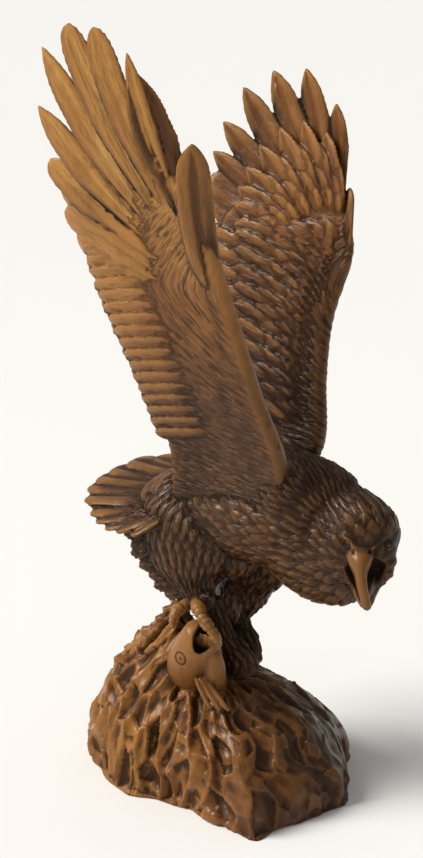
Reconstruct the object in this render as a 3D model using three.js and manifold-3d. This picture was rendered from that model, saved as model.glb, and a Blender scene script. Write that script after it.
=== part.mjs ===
// Carved wooden eagle with raised wings, gripping a fish on a rocky base, all of one block.
// Millimetres, +Z up. +X is the way the bird faces and -Y is its right side.
// The origin lies on the flat underside of the base, below the bird.
import * as THREE from 'three';
import { mergeVertices } from 'three/addons/utils/BufferGeometryUtils.js';
import Module from 'manifold-3d';

const wasm = await Module();
wasm.setup();

// Driving dimensions
const birdHeight = 410; // top of the rock to the highest wing tip
const rockHeight = 74; // underside to the top of the rock under the far foot
const rockCrestRise = 27; // wave crest beside the fish, above the rock around it
const rockLeftRise = 30; // how much the rock's tail side stands above the far foot
const rockReach = 104; // rock's apex to its furthest rim
const gougeDepth = 3.2; // hollows that the gouge left in the rock
const leadingEdgeThickness = 13; // wing at its front edge, by the shoulder
const trailingEdgeThickness = 4.4; // wing where the feathers leave it
const primaryWidth = 21; // long feathers of the hand
const secondaryWidth = 15; // feathers along the wing's rear edge
const covertWidth = 15; // short feathers that overlap on the wing's inner face
const featherThickness = 5.2; // wing feather along its shaft
const tailFeatherWidth = 25;
const tailFeatherThickness = 6.5;
const toeThickness = 10;
const fishHeadWidth = 34;
const fishEyeWidth = 9;
const beakWidth = 20; // upper beak at its root
const beakLength = 43; // root to hooked tip

// How finely the forms are cut
const rockColumns = 60;
const rockRows = 11;
const bodySides = 16;
const bodyRings = 13;
const longFeather = [0, 0.45, 0.8, 0.94];
const shortFeather = [0, 0.55, 0.93];

// The bird is drawn at this height, and its places are shares of it
const drawnBirdHeight = 410;
const share = birdHeight / drawnBirdHeight;
const RIGHT = -1;
const LEFT = 1;

// A place on the bird: x forward, y to its left, h above the top of the rock
function place(x, y, h) {
  return new THREE.Vector3(x * share, y * share, rockHeight + h * share);
}

// Solids

function toSolid(geometry) {
  geometry.deleteAttribute('normal');
  geometry.deleteAttribute('uv');
  const merged = mergeVertices(geometry, 1e-5);
  const mesh = new wasm.Mesh({
    numProp: 3,
    vertProperties: new Float32Array(merged.getAttribute('position').array),
    triVerts: new Uint32Array(merged.getIndex().array),
  });
  return new wasm.Manifold(mesh);
}

// Closed skin over rings of points that turn left around the way of travel
function skin(rings, first, last) {
  const sides = rings[0].length;
  const points = [first, ...rings.flat(), last];
  const end = points.length - 1;
  const index = [];
  const spot = (ring, side) => 1 + ring * sides + (side % sides);
  for (let j = 0; j < sides; j += 1) {
    index.push(0, spot(0, j + 1), spot(0, j));
    for (let i = 0; i + 1 < rings.length; i += 1) {
      index.push(spot(i, j), spot(i, j + 1), spot(i + 1, j + 1));
      index.push(spot(i, j), spot(i + 1, j + 1), spot(i + 1, j));
    }
    index.push(end, spot(rings.length - 1, j), spot(rings.length - 1, j + 1));
  }
  const geometry = new THREE.BufferGeometry().setFromPoints(points);
  geometry.setIndex(index);
  return toSolid(geometry);
}

// Smooth curve through rows of numbers, with t from 0 to 1
function between(rows, t) {
  const span = t * (rows.length - 1);
  const i = Math.min(Math.floor(span), rows.length - 2);
  const f = span - i;
  const row = (k) => rows[THREE.MathUtils.clamp(k, 0, rows.length - 1)];
  const [a, b, c, d] = [row(i - 1), row(i), row(i + 1), row(i + 2)];
  return b.map((value, k) => {
    const slopeIn = (c[k] - a[k]) / 2;
    const slopeOut = (d[k] - value) / 2;
    const drop = value - c[k];
    return value + f * (slopeIn + f * (-3 * drop - 2 * slopeIn - slopeOut
      + f * (2 * drop + slopeIn + slopeOut)));
  });
}

// Round form along stations [x, y, h, half across, half rise], closed by rounded ends.
// "up" says which way the rise goes.
function loft(stations, { sides = 8, rings = stations.length, up = new THREE.Vector3(0, 0, 1) } = {}) {
  const centre = (t) => place(...between(stations, t).slice(0, 3));
  const step = 0.02;
  const along = (t) => centre(Math.min(t + step, 1)).sub(centre(Math.max(t - step, 0))).normalize();
  const hoops = [];
  for (let i = 0; i < rings; i += 1) {
    const t = i / (rings - 1);
    const tangent = along(t);
    const rise = up.clone().addScaledVector(tangent, -up.dot(tangent)).normalize();
    const across = rise.clone().cross(tangent);
    const [, , , halfAcross, halfRise] = between(stations, t);
    const hoop = [];
    for (let j = 0; j < sides; j += 1) {
      const angle = (2 * Math.PI * j) / sides;
      hoop.push(centre(t)
        .addScaledVector(across, halfAcross * share * Math.cos(angle))
        .addScaledVector(rise, halfRise * share * Math.sin(angle)));
    }
    hoops.push(hoop);
  }
  const cap = (t, way) => {
    const [, , , halfAcross, halfRise] = between(stations, t);
    return centre(t).addScaledVector(along(t), way * 0.5 * share * Math.min(halfAcross, halfRise));
  };
  return skin(hoops, cap(0, -1), cap(1, 1));
}

// Straight-line value at t among pairs [t, value]
function valueAt(pairs, t) {
  const next = Math.max(1, pairs.findIndex(([end]) => end >= t));
  const [[t0, v0], [t1, v1]] = [pairs[next - 1], pairs[next]];
  return THREE.MathUtils.mapLinear(t, t0, t1, v0, v1);
}

// Feather along a curve of three points: ridged along its shaft, with a round or sharp tip
function feather(curve, normal, { width, thickness, sharp = 0, roll = 0, rings = longFeather }) {
  const path = new THREE.QuadraticBezierCurve3(...curve);
  const fullness = [[0, 0.5], [0.45, 0.85], [0.8, 1 - 0.15 * sharp], [0.94, 0.76 - 0.4 * sharp]];
  const hoops = rings.map((t) => {
    const tangent = path.getTangent(t);
    const rise = normal.clone().applyAxisAngle(tangent, roll);
    rise.addScaledVector(tangent, -rise.dot(tangent)).normalize();
    const across = rise.clone().cross(tangent);
    const half = (width / 2) * valueAt(fullness, t);
    const thick = (thickness / 2) * (1 - 0.45 * t);
    const section = [[1, 0], [0, 1], [-1, 0], [0, -1]];
    return section.map(([a, r]) => path.getPoint(t)
      .addScaledVector(across, a * half)
      .addScaledVector(rise, r * thick));
  });
  return skin(hoops, path.getPoint(0), path.getPoint(1));
}

function ball(centre, radii) {
  const geometry = new THREE.SphereGeometry(1, 10, 8);
  geometry.scale(...radii);
  geometry.translate(centre.x, centre.y, centre.z);
  return toSolid(geometry);
}

// Rock: a mound around an apex under the crest, with gouged hollows

// Rim seen from above: direction in degrees from +X towards +Y, and reach as a share
const rockApex = new THREE.Vector2(-22, -8);
const rim = [
  [-176, 0.84], [-160, 0.77], [-142, 0.66], [-113, 0.6], [-90, 0.5], [-66, 0.53], [-46, 0.75],
  [-35, 1], [-23, 0.92], [-12, 0.95], [-1, 0.98], [8, 1.04], [23, 0.98], [38, 0.97], [48, 1.03],
  [70, 0.91], [95, 0.8], [120, 0.78], [150, 0.83],
];

function rimShare(degrees) {
  const turn = 360;
  const next = rim.findIndex(([angle]) => angle > degrees);
  const b = next < 0 ? [rim[0][0] + turn, rim[0][1]] : rim[next];
  const a = next === 0 ? [rim.at(-1)[0] - turn, rim.at(-1)[1]] : rim.at(next < 0 ? -1 : next - 1);
  const f = THREE.MathUtils.smoothstep(degrees, a[0], b[0]);
  return THREE.MathUtils.lerp(a[1], b[1], f);
}

// The rim's corners fade out towards the top
function rockOutline(degrees, s) {
  const turn = (angle) => ((angle + 540) % 360) - 180;
  const near = [-40, -20, 0, 20, 40].map((step) => rimShare(turn(degrees + step)));
  const rounded = near.reduce((sum, value) => sum + value, 0) / near.length;
  return rockReach * THREE.MathUtils.lerp(rounded, rimShare(degrees), s ** 2);
}

// Height of the mound: s is 0 at the apex and 1 at the rim
function rockSurface(degrees, s, x, y) {
  const angle = THREE.MathUtils.degToRad(degrees);
  const leftward = Math.max(0, -Math.cos(angle)) * THREE.MathUtils.smoothstep(s, 0, 0.3);
  const flank = 0.7 + 0.12 * Math.cos(angle);
  const dome = (rockHeight + rockLeftRise * leftward) * (1 - s ** 2.3) ** flank;
  const crest = Math.exp(-(((x + 34) / 19) ** 2) - ((y + 8) / 17) ** 2);
  return dome + rockCrestRise * crest * (1 - s);
}

// Depth of the hollow at a ring and a column, as a share: ragged flutes that run down the rock
function gouged(ring, column) {
  const flute = column % 3 === 0 ? 0 : 0.6;
  const drift = Math.sin(column * 2.3 + Math.floor(ring / 2) * 1.7);
  return flute + 0.4 * drift;
}

function makeRock() {
  const hoops = [];
  for (let i = 0; i <= rockRows; i += 1) {
    const s = 1 - (1 - (i + 0.7) / (rockRows + 0.7)) ** 2;
    const hoop = [];
    for (let j = 0; j < rockColumns; j += 1) {
      const degrees = (360 * j) / rockColumns - 180;
      const angle = THREE.MathUtils.degToRad(degrees);
      const reach = s * rockOutline(degrees, s);
      const x = rockApex.x + reach * Math.cos(angle);
      const y = rockApex.y + reach * Math.sin(angle);
      const z = i === rockRows ? 0 : rockSurface(degrees, s, x, y);
      const hollow = gougeDepth * gouged(i, j);
      const tuck = 1 - 0.05 * (1 - THREE.MathUtils.smoothstep(z, 0, 26));
      const inward = tuck * (1 - (hollow * s) / Math.max(reach, 1));
      const lower = z === 0 ? 0 : hollow * (1 - s);
      hoop.push(new THREE.Vector3(
        rockApex.x + (x - rockApex.x) * inward,
        rockApex.y + (y - rockApex.y) * inward,
        z - lower,
      ));
    }
    hoops.push(hoop);
  }
  // The rings run down from the apex, so each is turned about to face outwards
  hoops.forEach((hoop) => hoop.reverse());
  const top = new THREE.Vector3(rockApex.x, rockApex.y, rockSurface(0, 0, rockApex.x, rockApex.y));
  return skin(hoops, top, new THREE.Vector3(0, 0, 0));
}

// Body, neck and head in one form from the tail root to the face
const bodyStations = [
  [-60, 0, 112, 12, 8],
  [-40, 0, 112, 22, 19],
  [-12, 0, 111, 29, 28],
  [18, 0, 113, 33, 34],
  [45, 0, 115, 33, 39],
  [66, -1, 107, 29, 40],
  [84, -4, 112, 25, 34],
  [98, -8, 113, 21, 24.5],
  [108, -13, 109, 14, 16],
];

// Head: the face looks along "ahead", and the crown lies along "crown"
const headCentre = place(97, -9, 112);
const ahead = new THREE.Vector3(0.413, -0.492, -0.766).normalize();
const crown = new THREE.Vector3(0.492, -0.586, 0.643);
crown.addScaledVector(ahead, -crown.dot(ahead)).normalize();
const sideways = ahead.clone().cross(crown);

function onHead(forward, up, side) {
  return headCentre.clone()
    .addScaledVector(ahead, forward)
    .addScaledVector(crown, up)
    .addScaledVector(sideways, side);
}

// Round form on the head: stations [forward, up, side, half across, half rise]
function headForm(stations, sides = 8) {
  const hoops = stations.map(([forward, up, side, across, rise]) => {
    const hoop = [];
    for (let j = 0; j < sides; j += 1) {
      const angle = (2 * Math.PI * j) / sides;
      hoop.push(onHead(forward, up + rise * Math.sin(angle), side - across * Math.cos(angle)));
    }
    return hoop;
  });
  const [first, last] = [stations[0], stations.at(-1)];
  return skin(
    hoops,
    onHead(first[0] - first[4] / 2, first[1], first[2]),
    onHead(last[0] + last[4] / 2, last[1], last[2]),
  );
}

function makeHead() {
  const w = beakWidth / 2;
  const l = beakLength;
  const upperBeak = headForm([
    [0, 8, 0, w * 1.3, 10],
    [0.2 * l, 9, 0, w, 9],
    [0.45 * l, 8, 0, w * 0.72, 7],
    [0.7 * l, 6, 0, w * 0.52, 5],
    [0.9 * l, 2.5, 0, w * 0.36, 3.6],
    [l, -2, 0, w * 0.18, 2],
  ]);
  const lowerBeak = headForm([
    [-4, -10, 0, w * 1.35, 7],
    [0.3 * l, -9, 0, w * 1.2, 4],
    [0.6 * l, -8, 0, w * 0.85, 3],
    [0.85 * l, -8, 0, w * 0.45, 2],
  ]);
  const mouth = headForm([
    [0.06 * l, -2, 0, w * 0.9, 3],
    [0.3 * l, -2.5, 0, w * 1.15, 4.4],
    [0.6 * l, -3, 0, w * 1.2, 3.4],
  ]);
  const parts = [upperBeak, lowerBeak];
  for (const side of [RIGHT, LEFT]) {
    parts.push(headForm([
      [-8, 12, side * 14, 3, 3],
      [2, 13.5, side * 12.5, 4, 3.6],
      [9, 12.5, side * 8, 2.5, 2.5],
    ], 6));
    parts.push(ball(onHead(5, 9, side * 14.5), [4.2, 4.2, 4.2]));
  }
  return { added: parts, cut: mouth };
}

// Wings: each lies on a surface that leans outwards as it rises from the back
const wingRoot = 147;
const wingRise = 260;

function wingReach(h) {
  const t = Math.max(0, (h - wingRoot) / wingRise);
  return 28 + 83 * t - 16 * t * t + 0.06 * Math.max(0, wingRoot - h);
}

function wingOutwards(side, h) {
  const step = 1;
  const slope = (wingReach(h + step) - wingReach(h - step)) / (2 * step);
  return new THREE.Vector3(0, side, -slope).normalize();
}

function onWing(side, x, h, outwards = 0) {
  return place(x, side * wingReach(h), h).addScaledVector(wingOutwards(side, h), outwards);
}

// Each wing is ruled by chords from root to hand: [front x, front h, rear x, rear h].
// The tips of the long feathers are [x, h], and the first two are twisted by "twist" radians.
const wings = [
  {
    side: RIGHT,
    chords: [
      [46, 112, -40, 112], [57, 147, -38, 154], [46, 198, -48, 203], [39, 241, -62, 250],
      [33, 276, -71, 296], [30, 300, -71, 330], [24, 318, -50, 358], [8, 334, -20, 372],
    ],
    primaries: [
      [-9, 366], [-11, 396.5], [-32, 409], [-51, 410], [-71, 396.5], [-81, 362], [-80, 332],
    ],
    twist: 0.55,
    alula: [[22, 276, 26, 349], [14, 282, 9, 332]],
  },
  {
    side: LEFT,
    chords: [
      [40, 112, -40, 112], [44, 150, -38, 154], [37, 190, -48, 198], [35, 225, -60, 238],
      [42, 260, -68, 280], [44, 284, -64, 312], [36, 300, -44, 330], [24, 314, -18, 336],
    ],
    primaries: [
      [22, 338], [15, 353], [-10, 372.5], [-34, 370], [-55, 358], [-67, 336], [-72, 317],
    ],
    twist: 0.1,
    alula: [[38, 266, 33, 311]],
  },
];

// A place on a chord: t runs from root to hand, and chord from the front edge to the rear edge
function onChord({ chords }, t, chord) {
  const [frontX, frontH, rearX, rearH] = between(chords, t);
  return [THREE.MathUtils.lerp(frontX, rearX, chord), THREE.MathUtils.lerp(frontH, rearH, chord)];
}

function makeSlab(wing) {
  const rings = 12;
  const sections = 5;
  const depth = 0.92; // share of the chord that the slab fills before the feathers take over
  const hoops = [];
  for (let i = 0; i < rings; i += 1) {
    const t = i / (rings - 1);
    const front = (leadingEdgeThickness / 2) * (1 - 0.4 * t);
    const rear = trailingEdgeThickness / 2;
    const outer = [];
    const inner = [];
    for (let k = 0; k <= sections; k += 1) {
      const chord = k / sections;
      const round = k === 0 ? 0.45 : 1;
      const half = THREE.MathUtils.lerp(front, rear, Math.min(1, 1.4 * chord)) * round;
      const [x, h] = onChord(wing, t, depth * chord);
      outer.push(onWing(wing.side, x, h, half));
      inner.push(onWing(wing.side, x, h, -half));
    }
    const hoop = [...outer, ...inner.reverse()];
    hoops.push(wing.side === LEFT ? hoop : hoop.reverse());
  }
  const middle = (hoop) => hoop.reduce((sum, p) => sum.add(p), new THREE.Vector3())
    .divideScalar(hoop.length);
  return skin(hoops, middle(hoops[0]), middle(hoops.at(-1)));
}

// Feather on a wing from root to tip, bowed to the rear by a share of its length
function wingFeather(side, root, tip, outwards, style) {
  const bow = 0.06 * Math.hypot(tip[0] - root[0], tip[1] - root[1]);
  const middle = [(root[0] + tip[0]) / 2 - bow, (root[1] + tip[1]) / 2 - bow * 0.4];
  const curve = [
    onWing(side, ...root, outwards),
    onWing(side, ...middle, outwards),
    onWing(side, ...tip, outwards * 0.5),
  ];
  return feather(curve, wingOutwards(side, middle[1]), style);
}

const secondaries = 13;
const rowFeathers = 8;

function makeWing(wing) {
  const { side, primaries, alula, twist } = wing;
  const parts = [makeSlab(wing)];
  primaries.forEach((tip, i) => {
    const spread = i / (primaries.length - 1);
    const root = onChord(wing, THREE.MathUtils.lerp(0.8, 0.62, spread), 0.12 + 0.28 * spread);
    const sharp = i === 2 || i === 3 ? 0 : 1;
    const roll = -side * (i < 2 ? twist : 0.18);
    const style = { width: primaryWidth, thickness: featherThickness, sharp, roll };
    parts.push(wingFeather(side, root, tip, 0, style));
  });
  for (let i = 0; i < secondaries; i += 1) {
    const t = THREE.MathUtils.lerp(0.17, 0.72, i / (secondaries - 1));
    const style = {
      width: secondaryWidth, thickness: featherThickness, roll: -side * 0.2, rings: shortFeather,
    };
    parts.push(wingFeather(side, onChord(wing, t, 0.55), onChord(wing, t, 1), 0.6, style));
  }
  // Rows that overlap on the inner face, each tip part of the way to the rear edge
  for (const [reach, length] of [[0.86, 0.5], [0.56, 0.4]]) {
    for (let i = 0; i < rowFeathers; i += 1) {
      const t = THREE.MathUtils.lerp(0.38, 0.97, i / (rowFeathers - 1));
      const start = onChord(wing, t - 0.03, reach - length);
      const tip = onChord(wing, t, reach);
      const style = {
        width: covertWidth, thickness: featherThickness, roll: -side * 0.15, rings: shortFeather,
      };
      parts.push(wingFeather(side, start, tip, -trailingEdgeThickness / 2, style));
    }
  }
  alula.forEach(([rootX, rootH, tipX, tipH]) => {
    const style = { width: primaryWidth, thickness: featherThickness * 1.5, sharp: 0.6, roll: -side * 0.7 };
    parts.push(wingFeather(side, [rootX, rootH], [tipX, tipH], 1, style));
  });
  return parts;
}

// Tail: a fan of rounded feathers, with its right side lower
const tailRoot = [-44, 0, 112];
const tailTips = [
  [-57, -36, 92], [-80, -31, 92], [-100, -19, 95.5], [-113, -9, 97.5], [-119, 2, 101],
  [-119, 12, 104.5], [-115, 22, 108.5], [-107, 32, 113], [-92, 38, 116],
];

function makeTail() {
  const normal = new THREE.Vector3(-0.2, -0.35, 1).normalize();
  return tailTips.map((tip, i) => {
    const root = place(...tailRoot);
    root.y += (tip[1] / 3) * share;
    const end = place(...tip);
    const middle = root.clone().lerp(end, 0.5);
    const style = { width: tailFeatherWidth, thickness: tailFeatherThickness, roll: 0.16 };
    middle.z += (i % 2) * 0.5;
    return feather([root, middle, end], normal, style);
  });
}

// Legs: feathered thighs, ragged at the back, and bare feet
const forwards = new THREE.Vector3(1, 0, 0);
const rightThigh = [
  [-26, -16, 102, 17, 38], [-25, -19, 86, 16, 33], [-22, -21, 71, 14, 26],
  [-19, -22, 60, 12, 18], [-17, -22, 52, 9, 12], [-14, -22, 46, 7, 8],
];
const leftThigh = [
  [12, 14, 96, 15, 34], [6, 17, 76, 14, 25], [-2, 18, 54, 13, 17], [-9, 18, 30, 10, 10],
  [-9, 18, 20, 7, 7.5], [-6, 17, 4, 7, 8],
];
const tufts = [[-76, 89], [-68, 82], [-60, 74], [-52, 66], [-44, 58], [-34, 51], [-25, 46]];

function toe([x, y, h], headingDegrees, length, drop) {
  const heading = THREE.MathUtils.degToRad(headingDegrees);
  const half = toeThickness / 2 / share;
  const out = (r) => [x + r * length * Math.cos(heading), y + r * length * Math.sin(heading)];
  return loft([
    [...out(0), h, half, half],
    [...out(0.4), h + 1, half * 0.95, half * 0.95],
    [...out(0.8), h - drop * 0.4, half * 0.7, half * 0.7],
    [...out(1), h - drop, half * 0.25, half * 0.25],
  ], { sides: 6 });
}

function makeLegs() {
  const parts = [
    loft(rightThigh, { sides: 12, up: forwards }),
    loft(leftThigh, { sides: 12, up: forwards }),
  ];
  tufts.forEach(([x, h], i) => {
    const end = place(x, -19, h);
    const start = place(x + 26, -18, h + 18);
    const middle = start.clone().lerp(end, 0.5);
    const style = { width: 13, thickness: 12, sharp: 1, roll: (i % 2) * 0.3 };
    parts.push(feather([start, middle, end], new THREE.Vector3(0, -1, 0), style));
  });
  const rightFoot = [-12, -23, 46];
  const leftFoot = [-5, 17, 2];
  for (const heading of [-75, -25, 25]) {
    parts.push(toe(rightFoot, heading, 21, 10));
    parts.push(toe(leftFoot, heading + 20, 26, 6));
  }
  parts.push(toe(rightFoot, 165, 22, 8), toe(leftFoot, 190, 20, 3));
  return parts;
}

// Fish: its head comes out of the rock below the right foot, with the mouth wide open
const fishStations = [
  [-26, -14, -8, 13, 13], [-24, -24, 6, 16, 17], [-15, -32, 21, 17, 17],
  [-7, -36, 33, 14, 15], [-1, -38, 42, 9, 12],
];

function makeFish() {
  const fit = fishHeadWidth / 34;
  const stations = fishStations.map(([x, y, h, a, r]) => [x, y, h, a * fit, r * fit]);
  const eye = ball(place(-11.5, -48, 27), [fishEyeWidth / 2, 3.5, fishEyeWidth / 2]);
  const jaw = loft([
    [4, -26, 4, 10, 11], [13, -33, 14, 9, 10], [13, -36, 25, 8, 8], [8, -37, 35, 6, 6],
  ], { sides: 10, up: forwards });
  const fin = feather(
    [place(-4, -40, 16), place(10, -43, 10), place(24, -40, 2)],
    new THREE.Vector3(0, -1, 0),
    { width: 12, thickness: 7, sharp: 0 },
  );
  const mouth = loft([[0, -37, 26, 6, 6], [3, -42, 36, 8, 10], [6, -47, 44, 9, 12]], { up: forwards });
  return { added: [loft(stations, { sides: 14, rings: 9, up: forwards }), jaw, eye, fin], cut: mouth };
}

// The carving: everything that stands proud is joined, and the two open mouths are cut

function makeCarving() {
  const body = loft(bodyStations, { sides: bodySides, rings: bodyRings });
  const head = makeHead();
  const fish = makeFish();
  const headSolid = [body, ...head.added].reduce((all, part) => all.add(part)).subtract(head.cut);
  const fishSolid = fish.added.reduce((all, part) => all.add(part)).subtract(fish.cut);
  const parts = [makeRock(), fishSolid, ...makeTail(), ...makeLegs(), ...wings.flatMap(makeWing)];
  return parts.reduce((all, part) => all.add(part), headSolid);
}

function toMesh(name, manifold, material) {
  const { vertProperties, triVerts, numProp } = manifold.getMesh();
  const geometry = new THREE.BufferGeometry();
  const position = new THREE.InterleavedBufferAttribute(
    new THREE.InterleavedBuffer(vertProperties, numProp), 3, 0,
  );
  geometry.setAttribute('position', position);
  geometry.setIndex(new THREE.BufferAttribute(triVerts, 1));
  const mesh = new THREE.Mesh(geometry, material);
  mesh.name = name;
  return mesh;
}

const waxedWood = new THREE.MeshStandardMaterial({ color: 0x8a5a32, roughness: 0.42, metalness: 0 });

const carving = new THREE.Group();
carving.add(toMesh('eagle_carving', makeCarving(), waxedWood));

export default carving;
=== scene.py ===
# %% [markdown]
# A carved wooden eagle with raised wings, gripping a fish on a rocky base. The real one is
# cut from one block of wood, so it is one piece here too. It could be sculpted by hand, but
# a script has to give the same carving each time. So its forms are laid out as many closed
# shells, fused into one skin, carved with relief by arithmetic, and thinned out.

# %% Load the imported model
import math
import time
import bpy
import numpy as np
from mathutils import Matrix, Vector
from mathutils.bvhtree import BVHTree


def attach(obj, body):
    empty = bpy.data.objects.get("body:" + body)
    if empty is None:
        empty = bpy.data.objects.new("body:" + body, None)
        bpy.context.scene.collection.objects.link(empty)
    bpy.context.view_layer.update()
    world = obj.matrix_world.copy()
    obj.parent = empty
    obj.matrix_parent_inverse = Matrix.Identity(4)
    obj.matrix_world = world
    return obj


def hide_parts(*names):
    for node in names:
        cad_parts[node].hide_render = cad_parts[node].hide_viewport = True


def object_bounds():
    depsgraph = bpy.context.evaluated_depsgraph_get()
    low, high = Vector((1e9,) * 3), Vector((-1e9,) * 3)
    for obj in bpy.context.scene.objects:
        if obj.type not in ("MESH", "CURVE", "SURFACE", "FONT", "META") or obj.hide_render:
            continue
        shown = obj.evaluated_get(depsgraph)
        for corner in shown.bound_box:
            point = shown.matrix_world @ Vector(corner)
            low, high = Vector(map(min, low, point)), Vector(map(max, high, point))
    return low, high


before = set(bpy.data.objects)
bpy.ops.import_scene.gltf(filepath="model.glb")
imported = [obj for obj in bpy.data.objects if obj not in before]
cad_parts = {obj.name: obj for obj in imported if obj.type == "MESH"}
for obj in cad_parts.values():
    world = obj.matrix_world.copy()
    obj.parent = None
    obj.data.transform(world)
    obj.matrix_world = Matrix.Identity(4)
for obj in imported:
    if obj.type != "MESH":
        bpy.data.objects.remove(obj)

cad_box = [list(corner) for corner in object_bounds()]
MM = 0.001
print("solid's box in metres:", cad_box)

# %% [markdown]
# The camera looks down a little on the bird's right front side. The picture's long side is
# its height, so the lens is given for a sensor fitted to the vertical.

# %% Camera
AZIMUTH, ELEVATION, DISTANCE = math.radians(35.0), math.radians(17.0), 1.150
AIM = Vector((-0.020, 0.0, 0.232))
FOCAL_IN_IMAGE_HEIGHTS = 1855.0 / 858.0
SENSOR_MM = 36.0

camera_data = bpy.data.cameras.new("camera")
camera_data.sensor_fit = "VERTICAL"
camera_data.sensor_height = SENSOR_MM
camera_data.lens = FOCAL_IN_IMAGE_HEIGHTS * SENSOR_MM
camera_data.dof.use_dof = False
camera = bpy.data.objects.new("camera", camera_data)
bpy.context.collection.objects.link(camera)
towards_camera = Vector((
    math.sin(AZIMUTH) * math.cos(ELEVATION),
    -math.cos(AZIMUTH) * math.cos(ELEVATION),
    math.sin(ELEVATION),
))
camera.location = AIM + DISTANCE * towards_camera
camera.rotation_euler = towards_camera.to_track_quat("Z", "Y").to_euler()
bpy.context.scene.camera = camera
print("camera at", [round(value, 3) for value in camera.location])

# %% [markdown]
# The carver measures in millimetres from the rock's top, and draws with few points and
# smooth curves between them. Blender's own curve objects could do that, but a small formula
# in numpy gives plain numbers that all later steps can use.

# %% Places and smooth curves
ROCK_TOP = 74.0


def unit(vectors):
    return vectors / (np.linalg.norm(vectors, axis=-1, keepdims=True) + 1e-12)


def place(rows):
    """Places on the bird [x, y, height above the rock's top] in the model's frame."""
    return np.asarray(rows, float) + np.array([0.0, 0.0, ROCK_TOP])


def between(rows, t):
    """Smooth curve through rows of numbers, with t from 0 to 1."""
    rows = np.asarray(rows, float)
    span = np.clip(np.asarray(t, float), 0, 1) * (len(rows) - 1)
    i = np.clip(np.floor(span).astype(int), 0, len(rows) - 2)
    f = (span - i)[..., None]

    def row(k):
        return rows[np.clip(k, 0, len(rows) - 1)]

    a, b, c, d = row(i - 1), row(i), row(i + 1), row(i + 2)
    slope_in, slope_out, drop = (c - a) / 2, (d - b) / 2, b - c
    bend = -3 * drop - 2 * slope_in - slope_out + f * (2 * drop + slope_in + slope_out)
    return b + f * (slope_in + f * bend)


print("the bird's heights are counted from", ROCK_TOP, "mm above the floor")

# %% [markdown]
# Every form is a closed skin over rings of points. A ring's last point repeats its first, so the
# coordinates "along" and "around" the form, in millimetres, run on without a break and can later
# steer the carver's strokes. Each point also keeps a tone, from 0 for dark to 1 for light, which
# holds the wood's colour together with some painted light and shade, and the strength of the
# strokes. A form's kind chooses its relief.

# %% Closed shells
KINDS = ("smooth", "rock", "quill", "hair", "lock", "tuft", "scute")
STROKES = {
    "smooth": 0.05, "rock": 0.12, "quill": 0.3, "hair": 1.0, "lock": 0.75, "tuft": 0.8,
    "scute": 0.2,
}
shells = []


def over(values, count, sides):
    """A number, one number a ring, or a whole grid, spread over all the points of a skin."""
    values = np.asarray(values, float)
    if values.ndim == 1:
        values = values[:, None]
    return np.broadcast_to(values, (count, sides))


def add_shell(rings, first, last, kind, tone=0.5, shear=None, group="mass", strokes=None):
    """Close a skin over rings [ring, point, xyz] and keep its flow coordinates."""
    rings = np.asarray(rings, float)
    count, sides = rings.shape[:2]
    around = np.zeros((count, sides))
    around[:, 1:] = np.cumsum(np.linalg.norm(np.diff(rings, axis=1), axis=2), axis=1)
    middle = around.mean(axis=0)
    centres = rings[:, :-1].mean(axis=1)
    along = np.concatenate([[0], np.cumsum(np.linalg.norm(np.diff(centres, axis=0), axis=1))])
    flow = np.stack([np.repeat(along[:, None], sides, 1), np.repeat(middle[None], count, 0)], -1)
    if shear is not None:
        flow = shear(flow)
    tone = over(tone, count, sides)
    strokes = over(STROKES[kind] if strokes is None else strokes, count, sides)
    points = np.concatenate([[first], rings.reshape(-1, 3), [last]])
    values = np.concatenate([flow, tone[..., None], strokes[..., None]], -1)
    values = np.concatenate([values[:1, 0], values.reshape(-1, 4), values[-1:, 0]])
    spot = 1 + np.arange(count * sides).reshape(count, sides)
    a, b, c, d = spot[:-1, :-1], spot[:-1, 1:], spot[1:, 1:], spot[1:, :-1]
    side_faces = np.concatenate([
        np.stack([a, b, c], -1).reshape(-1, 3), np.stack([a, c, d], -1).reshape(-1, 3)])
    low = np.stack([np.zeros(sides - 1, int), spot[0, 1:], spot[0, :-1]], -1)
    high = np.stack([np.full(sides - 1, len(points) - 1), spot[-1, :-1], spot[-1, 1:]], -1)
    shells.append({
        "points": points, "faces": np.concatenate([side_faces, low, high]), "values": values,
        "kind": KINDS.index(kind), "group": group,
    })


print("kinds of surface:", ", ".join(KINDS))

# %% [markdown]
# Body, legs, toes and fish are round all over. Metaballs would melt together by themselves
# but blur the measures, so these forms are lofts, which swell and bend along a smooth
# curve, and balls.

# %% Round forms
def hoop_angles(sides, start=0.0):
    return start + np.linspace(0, 2 * math.pi, sides + 1)


def loft(stations, kind, tone, sides=40, rings=60, up=(0, 0, 1), start=0.0, group="mass"):
    """Round form along stations [x, y, height, half across, half rise]."""
    t = np.linspace(0, 1, rings)
    rows = between(stations, t)
    centre = place(rows[:, :3])
    tangent = unit(np.gradient(centre, axis=0))
    up = np.asarray(up, float)
    rise = unit(up - (tangent @ up)[:, None] * tangent)
    across = np.cross(rise, tangent)
    angle = hoop_angles(sides, start)
    cosine, sine = np.cos(angle)[None, :, None], np.sin(angle)[None, :, None]
    ring_points = (centre[:, None] + across[:, None] * rows[:, None, 3:4] * cosine
                   + rise[:, None] * rows[:, None, 4:5] * sine)
    reach = 0.5 * np.minimum(rows[:, 3], rows[:, 4])
    add_shell(ring_points, centre[0] - tangent[0] * reach[0], centre[-1] + tangent[-1] * reach[-1],
              kind, tone, group=group)


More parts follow.
